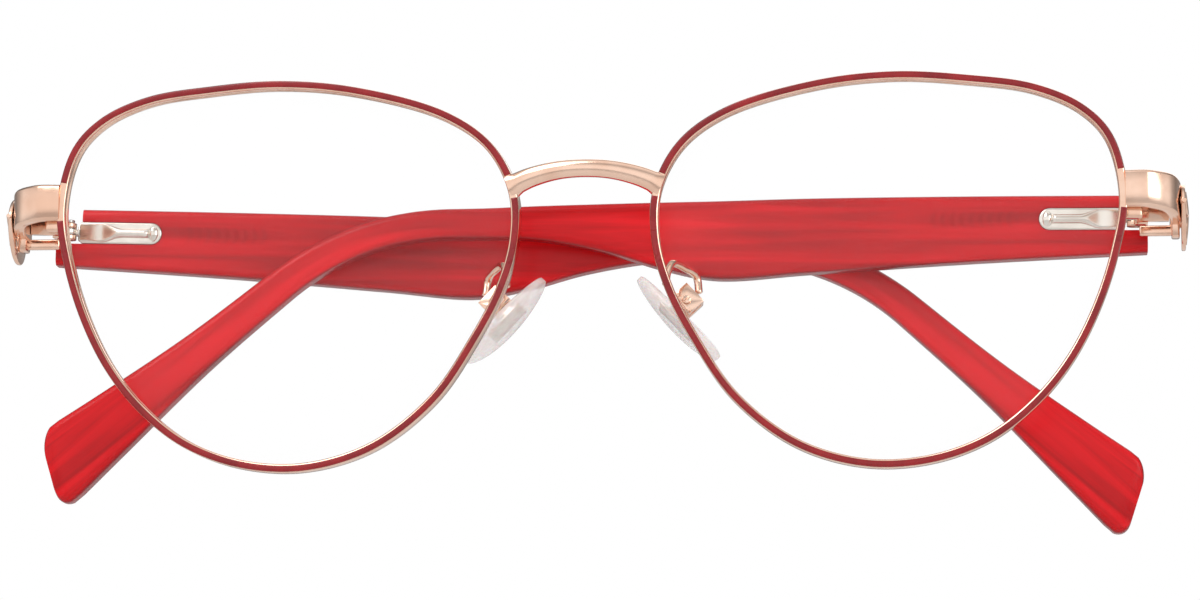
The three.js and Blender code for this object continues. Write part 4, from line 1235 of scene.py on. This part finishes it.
    def housing(self, name: str) -> bpy.types.Object:
        """The spring case: a flat plate at the front, waisted to a half-round rib with a domed end."""
        outline = self.stadium(self.housing_front, self.housing_height / 2)
        faces = (self.inset - 0.12, self.inset + self.housing_thickness)
        case = skin(name, [[Vector((x, a, b)) for a, b in outline] for x in faces])
        soften(case, self.case_rounding, 50, 4)
        front, end = self.housing_front, self.housing_front + self.housing_length
        steps, turns = 60, 18
        rings = []
        for i in range(steps + 1):
            y = front + (end - 1.5 - front) * i / steps
            waist = smoothstep((y - front - self.waist_start) / self.waist_length)
            width = self.rib_front + (self.rib_half - self.rib_front) * waist
            proud = 0.3 + 0.26 * waist
            power = 0.3 + 0.7 * waist
            last = math.sqrt(max(1 - max((y - end + 2.0) / 0.52, 0.0) ** 2, 0.0))
            ring = []
            for k in range(turns + 1):
                angle = math.pi * k / turns
                side, out = math.cos(angle), math.sin(angle)
                ring.append(Vector((self.inset - 0.05 - proud * last * out ** power, y,
                                    width * math.copysign(abs(side) ** power, side))))
            rings.append(ring + [Vector((self.inset + 0.3, y, -width)), Vector((self.inset + 0.3, y, width))])
        case = carve(case, skin(name + "_rib", rings), "UNION")
        case = carve(case, self.dome(name + "_dome", end - 1.02), "UNION")
        half, high = self.channel_half
        channel = block(name + "_channel", (self.housing_x - half, self.housing_front - 1, -high),
                        (self.housing_x + half, self.spring_start + self.spring[0] + 1.0, high))
        return carve(case, channel)

    def dome(self, name: str, middle: float) -> bpy.types.Object:
        """The bright button that closes the rib's rear end.

        Args:
            name: the piece's name.
            middle: how far behind the pin it sits.

        Returns:
            The new object.
        """
        deep, long, high = self.button
        rings = []
        for i in range(13):
            tilt = math.radians(-86 + 172 * i / 12)
            out, breadth = self.inset + deep * math.sin(tilt), math.cos(tilt)
            rings.append([Vector((out, middle + long * breadth * a, high * breadth * b))
                          for a, b in ellipse(1, 1, 32)])
        return skin(name, rings)

    def coil(self, name: str) -> bpy.types.Object:
        """The hinge spring."""
        length, radius, wire = self.spring
        per_turn = 24
        count = self.spring_turns * per_turn
        pitch = (length - 2 * wire) / self.spring_turns
        rings = []
        for i in range(count + 1):
            angle = 2 * math.pi * i / per_turn
            outward = Vector((math.cos(angle), 0, math.sin(angle)))
            forward = self.spring_start + wire + pitch * i / per_turn
            centre = Vector((self.housing_x, forward, 0)) + outward * radius
            rings.append([centre + outward * a + Vector((0, b, 0)) for a, b in ellipse(wire, wire, 10)])
        return skin(name, rings)

    def core_wire(self, name: str) -> bpy.types.Object:
        """The flat wire down the middle of the acetate."""
        start, end = self.housing_front + self.housing_length + 0.4, self.end - self.core_margin
        rings = []
        for i in range(91):
            point, _, above = self.spine(start + (end - start) * i / 90)
            rings.append([point + above * b + Vector((self.housing_x + a, 0, 0))
                          for a, b in rounded_box(*self.core, 0.2, 3)])
        return skin(name, rings)

    def place(self, joints: Sequence[dict], side: Side) -> Matrix:
        """From the drawing to where the frame's joints put this temple at rest.

        Args:
            joints: the record's joints.
            side: the wearer's side.

        Returns:
            The matrix, mirrored for the right.
        """
        named = {joint["name"]: joint for joint in joints}
        hinge = named[f"{side.value}_temple_hinge"]
        back = Vector(named[f"{side.value}_spring_travel"]["axis"]).normalized()
        up = (Vector(hinge["axis"]) * -side.sign).normalized()
        out = back.cross(up) * side.sign
        place = Matrix((out, back, up)).transposed().to_4x4()
        place.translation = Vector(hinge["pos_m"]) / MM
        return place

    def build(self, frame: dict, finishes: Finishes, side: Side) -> None:
        """Makes one side's temple, housing, spring and core, and rounds the small machined pieces.

        Args:
            frame: the loaded frame.
            finishes: the materials.
            side: the wearer's side.
        """
        name, place = side.value, self.place(frame["joints"], side)
        arm, slider = f"{name}_temple_arm", f"{name}_slider"
        settle(self.acetate(f"{name}_acetate"), place, finishes.acetate, arm,
               [f"{name}_temple"], crease=50)
        settle(self.housing(f"{name}_spring_case"), place, finishes.nickel, arm,
               [f"{name}_hinge_housing"])
        settle(self.coil(f"{name}_coil"), place, finishes.steel, arm, [f"{name}_hinge_spring"])
        settle(self.core_wire(f"{name}_core"), place, finishes.nickel, arm,
               [f"{name}_core_wire"])
        refine(frame, f"{name}_spring_stop", finishes.steel, arm, 0.04)
        refine(frame, f"{name}_spring_slider", finishes.nickel, slider, 0.05)
        refine(frame, f"{name}_spring_nut", finishes.steel, slider, 0.05)
        refine(frame, f"{name}_hinge_leaf", finishes.rose_gold, "front", 0.08)
        refine(frame, f"{name}_hinge_screw", finishes.steel, "front", 0.06)


# ---- Nose pads -------------------------------------------------------------------------------


@dataclass
class NosePad:
    """A soft pad with its insert, box, screw and arm, drawn about the pad's middle."""

    length: float = 13.2
    width: float = 6.6
    thickness: float = 2.0
    centre: tuple[float, float, float] = (9.9, 0.2, 0.2)
    lean: float = 44.0
    splay: float = 10.0
    arm_radius: float = 0.45
    reach: float = 4.25
    box_rise: float = 0.8
    steps: int = 40

    @property
    def place(self) -> Matrix:
        """From the pad's drawing to the frame, on the left."""
        lean = Matrix.Rotation(math.radians(-self.lean), 4, "Y")
        splay = Matrix.Rotation(math.radians(self.splay), 4, "Z")
        return Matrix.Translation(self.centre) @ (lean @ splay)

    def cushion(self, name: str) -> bpy.types.Object:
        """A teardrop cushion, narrower at its top, domed towards the nose."""
        rings = []
        for i in range(self.steps + 1):
            u = -math.cos(math.pi * (i + 0.12) / (self.steps + 0.24))
            breadth = math.sqrt(max(1 - u * u, 0.0)) * (1 - 0.16 * u)
            dome = 0.35 * (1 - u * u)
            ring = []
            for a, b in ellipse(1, 1, 36):
                thin = self.thickness * (0.3 + 0.7 * breadth) / 2
                ring.append(Vector((math.copysign(abs(a) ** 0.8, a) * thin - dome + 0.35,
                                    b * self.width * breadth / 2, u * self.length / 2)))
            rings.append(ring)
        return skin(name, rings)

    def arm(self, name: str, eye: EyeWire) -> bpy.types.Object:
        """The wire from the back of the rim that curls up and back to the pad box."""
        foot = eye.on_frame(eye.fraction(eye.centre_height - 0.6, outer=False), -0.05, eye.wire_depth)
        end = self.place @ Vector((self.reach - 0.1, 0, self.box_rise - 0.3))
        above = self.place @ Vector((self.reach + 0.25, 0, self.box_rise + 1.2))
        r = self.arm_radius
        path = Curve([foot + Vector((0, r - 0.15, -0.9)), foot + Vector((0.1, r + 0.25, 0.5)),
                      foot + Vector((0.6, 1.9, 1.9)), foot.lerp(above, 0.55) + Vector((0.5, 0.6, 1.5)),
                      above + Vector((0.5, 0.2, 0.6)), end])

        def section(t: float) -> list[tuple[float, float]]:
            """The wire's round section, its ends drawn in."""
            off = min(t, 1 - t) / 0.02
            radius = r * (0.55 + 0.45 * math.sqrt(1 - (1 - min(off, 1.0)) ** 2))
            return ellipse(radius, radius, 16)

        return sweep(name, path, section, 100, up=Vector((1, 0.1, 0)))

    def build(self, frame: dict, eye: EyeWire, finishes: Finishes, side: Side) -> None:
        """Makes one side's pad and arm, and rounds the box, screw and insert.

        Args:
            frame: the loaded frame.
            eye: the rim that the arm stands on.
            finishes: the materials.
            side: the wearer's side.
        """
        name, pad = side.value, f"{side.value}_pad"
        settle(self.cushion(f"{name}_cushion"), mirrored(self.place, side), finishes.silicone, pad,
               [f"{name}_nose_pad"], 70)
        settle(self.arm(f"{name}_arm_wire", eye), mirrored(Matrix.Identity(4), side), finishes.rose_gold,
               "front", [f"{name}_pad_arm"])
        refine(frame, f"{name}_pad_insert", finishes.nickel, pad, 0.08)
        refine(frame, f"{name}_pad_box", finishes.rose_gold, "front", 0.34)
        refine(frame, f"{name}_pad_screw", finishes.rose_gold, "front", 0.06)


# ---- Studio ----------------------------------------------------------------------------------


@dataclass
class Studio:
    """White surroundings, soft lights and the camera, in metres."""

    floor_height: float = -0.16
    floor_reach: float = 3.0
    floor_tone: float = 0.8
    camera_at: tuple[float, float, float] = (0.0631, -0.588, -0.0786)
    aim: tuple[float, float, float] = (0.0, -0.00904, 0.00324)
    focal: float = 154.4
    shift: tuple[float, float] = (0.01442, -0.013)
    roll: float = 0.2
    sky_strength: float = 1.1
    sky_by_height: Sequence[tuple[float, float]] = (
        (0.0, 0.6), (0.3, 0.4), (0.44, 0.75), (0.52, 1.0), (0.66, 0.95), (0.78, 0.45), (0.92, 1.0))
    sky_by_depth: Sequence[tuple[float, float]] = (
        (0.0, 1.0), (0.45, 0.9), (0.6, 0.45), (0.8, 0.22), (1.0, 0.3))

    def camera(self) -> None:
        """Places the camera ahead of the glasses and a little below them."""
        data = bpy.data.cameras.new("camera")
        data.lens, data.sensor_width = self.focal, 36.0
        data.shift_x, data.shift_y = self.shift
        data.clip_end = 10.0
        eye = bpy.data.objects.new("camera", data)
        bpy.context.scene.collection.objects.link(eye)
        eye.location = self.camera_at
        facing = (Vector(self.aim) - Vector(self.camera_at)).to_track_quat("-Z", "Y").to_matrix()
        eye.rotation_euler = (facing @ Matrix.Rotation(math.radians(self.roll), 3, "Z")).to_euler()
        bpy.context.scene.camera = eye

    def surroundings(self) -> None:
        """White behind the object, and a soft banded sky for the metal to reflect."""
        world = bpy.data.worlds.new("surroundings")
        bpy.context.scene.world = world
        world.use_nodes = True
        tree = world.node_tree
        tree.nodes.clear()
        out = tree.nodes.new("ShaderNodeOutputWorld")
        mix = tree.nodes.new("ShaderNodeMixShader")
        plain = tree.nodes.new("ShaderNodeBackground")
        plain.inputs["Color"].default_value = (1, 1, 1, 1)
        sky = tree.nodes.new("ShaderNodeBackground")
        sky.inputs["Strength"].default_value = self.sky_strength
        place = tree.nodes.new("ShaderNodeTexCoord")
        split = tree.nodes.new("ShaderNodeSeparateXYZ")
        tree.links.new(place.outputs["Generated"], split.inputs[0])
        levels = []
        for axis, stops in (("Z", self.sky_by_height), ("Y", self.sky_by_depth)):
            spread = tree.nodes.new("ShaderNodeMapRange")
            spread.inputs["From Min"].default_value = -1.0
            tree.links.new(split.outputs[axis], spread.inputs["Value"])
            bands = tree.nodes.new("ShaderNodeValToRGB")
            while len(bands.color_ramp.elements) < len(stops):
                bands.color_ramp.elements.new(0.5)
            for element, (position, level) in zip(bands.color_ramp.elements, stops):
                element.position = position
                element.color = (level, level, level, 1)
            tree.links.new(spread.outputs["Result"], bands.inputs["Fac"])
            levels.append(bands.outputs["Color"])
        both = tree.nodes.new("ShaderNodeMixRGB")
        both.blend_type = "MULTIPLY"
        both.inputs["Fac"].default_value = 1.0
        tree.links.new(levels[0], both.inputs["Color1"])
        tree.links.new(levels[1], both.inputs["Color2"])
        tree.links.new(both.outputs["Color"], sky.inputs["Color"])
        ray = tree.nodes.new("ShaderNodeLightPath")
        tree.links.new(ray.outputs["Is Camera Ray"], mix.inputs["Fac"])
        tree.links.new(sky.outputs[0], mix.inputs[1])
        tree.links.new(plain.outputs[0], mix.inputs[2])
        tree.links.new(mix.outputs[0], out.inputs["Surface"])

    def light(self, name: str, at: Sequence[float], size: float, watts: float) -> None:
        """Adds a square soft light that faces the glasses.

        Args:
            name: its name.
            at: its place in metres.
            size: its edge in metres.
            watts: its power.
        """
        data = bpy.data.lights.new(name, "AREA")
        data.size, data.energy = size, watts
        lamp = bpy.data.objects.new(name, data)
        bpy.context.scene.collection.objects.link(lamp)
        lamp.location = at
        lamp.rotation_euler = (Vector(self.aim) - Vector(at)).to_track_quat("-Z", "Y").to_euler()

    def floor(self) -> None:
        """A plain pale floor well below the glasses."""
        reach = self.floor_reach
        sheet = bpy.data.meshes.new("floor")
        corners = [(x * reach, y * reach, self.floor_height) for x, y in ((-1, -1), (1, -1), (1, 1), (-1, 1))]
        sheet.from_pydata(corners, [], [(0, 1, 2, 3)])
        ground = from_mesh("floor", sheet)
        nodes = Nodes("pale_floor")
        nodes.set(Base_Color=(*[self.floor_tone] * 3, 1.0), Roughness=0.8)
        sheet.materials.append(nodes.material)
        LOG.info("floor at %.0f mm", self.floor_height / MM)

    def build(self) -> None:
        """Sets up the whole studio."""
        bpy.context.scene.view_settings.view_transform = "Standard"
        self.camera()
        self.surroundings()
        self.floor()
        self.light("key", (-0.35, -0.55, 0.6), 0.5, 2.6)
        self.light("fill", (0.6, -0.5, 0.2), 0.4, 1.2)
        self.light("rear", (0.1, 0.6, 0.45), 0.6, 1.5)


def main() -> None:
    """Builds the sub-assemblies in order."""
    logging.basicConfig(level=logging.INFO, format="%(name)s: %(message)s")
    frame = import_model()
    Studio().build()
    finishes, eye = Finishes(), EyeWire()
    Bridge().build(eye, finishes)
    for side in Side:
        eye.build(frame, finishes, side)
        EndPiece().build(eye, finishes, side)
        Temple().build(frame, finishes, side)
        NosePad().build(frame, eye, finishes, side)
    bpy.context.view_layer.update()


if __name__ == "__main__":
    main()
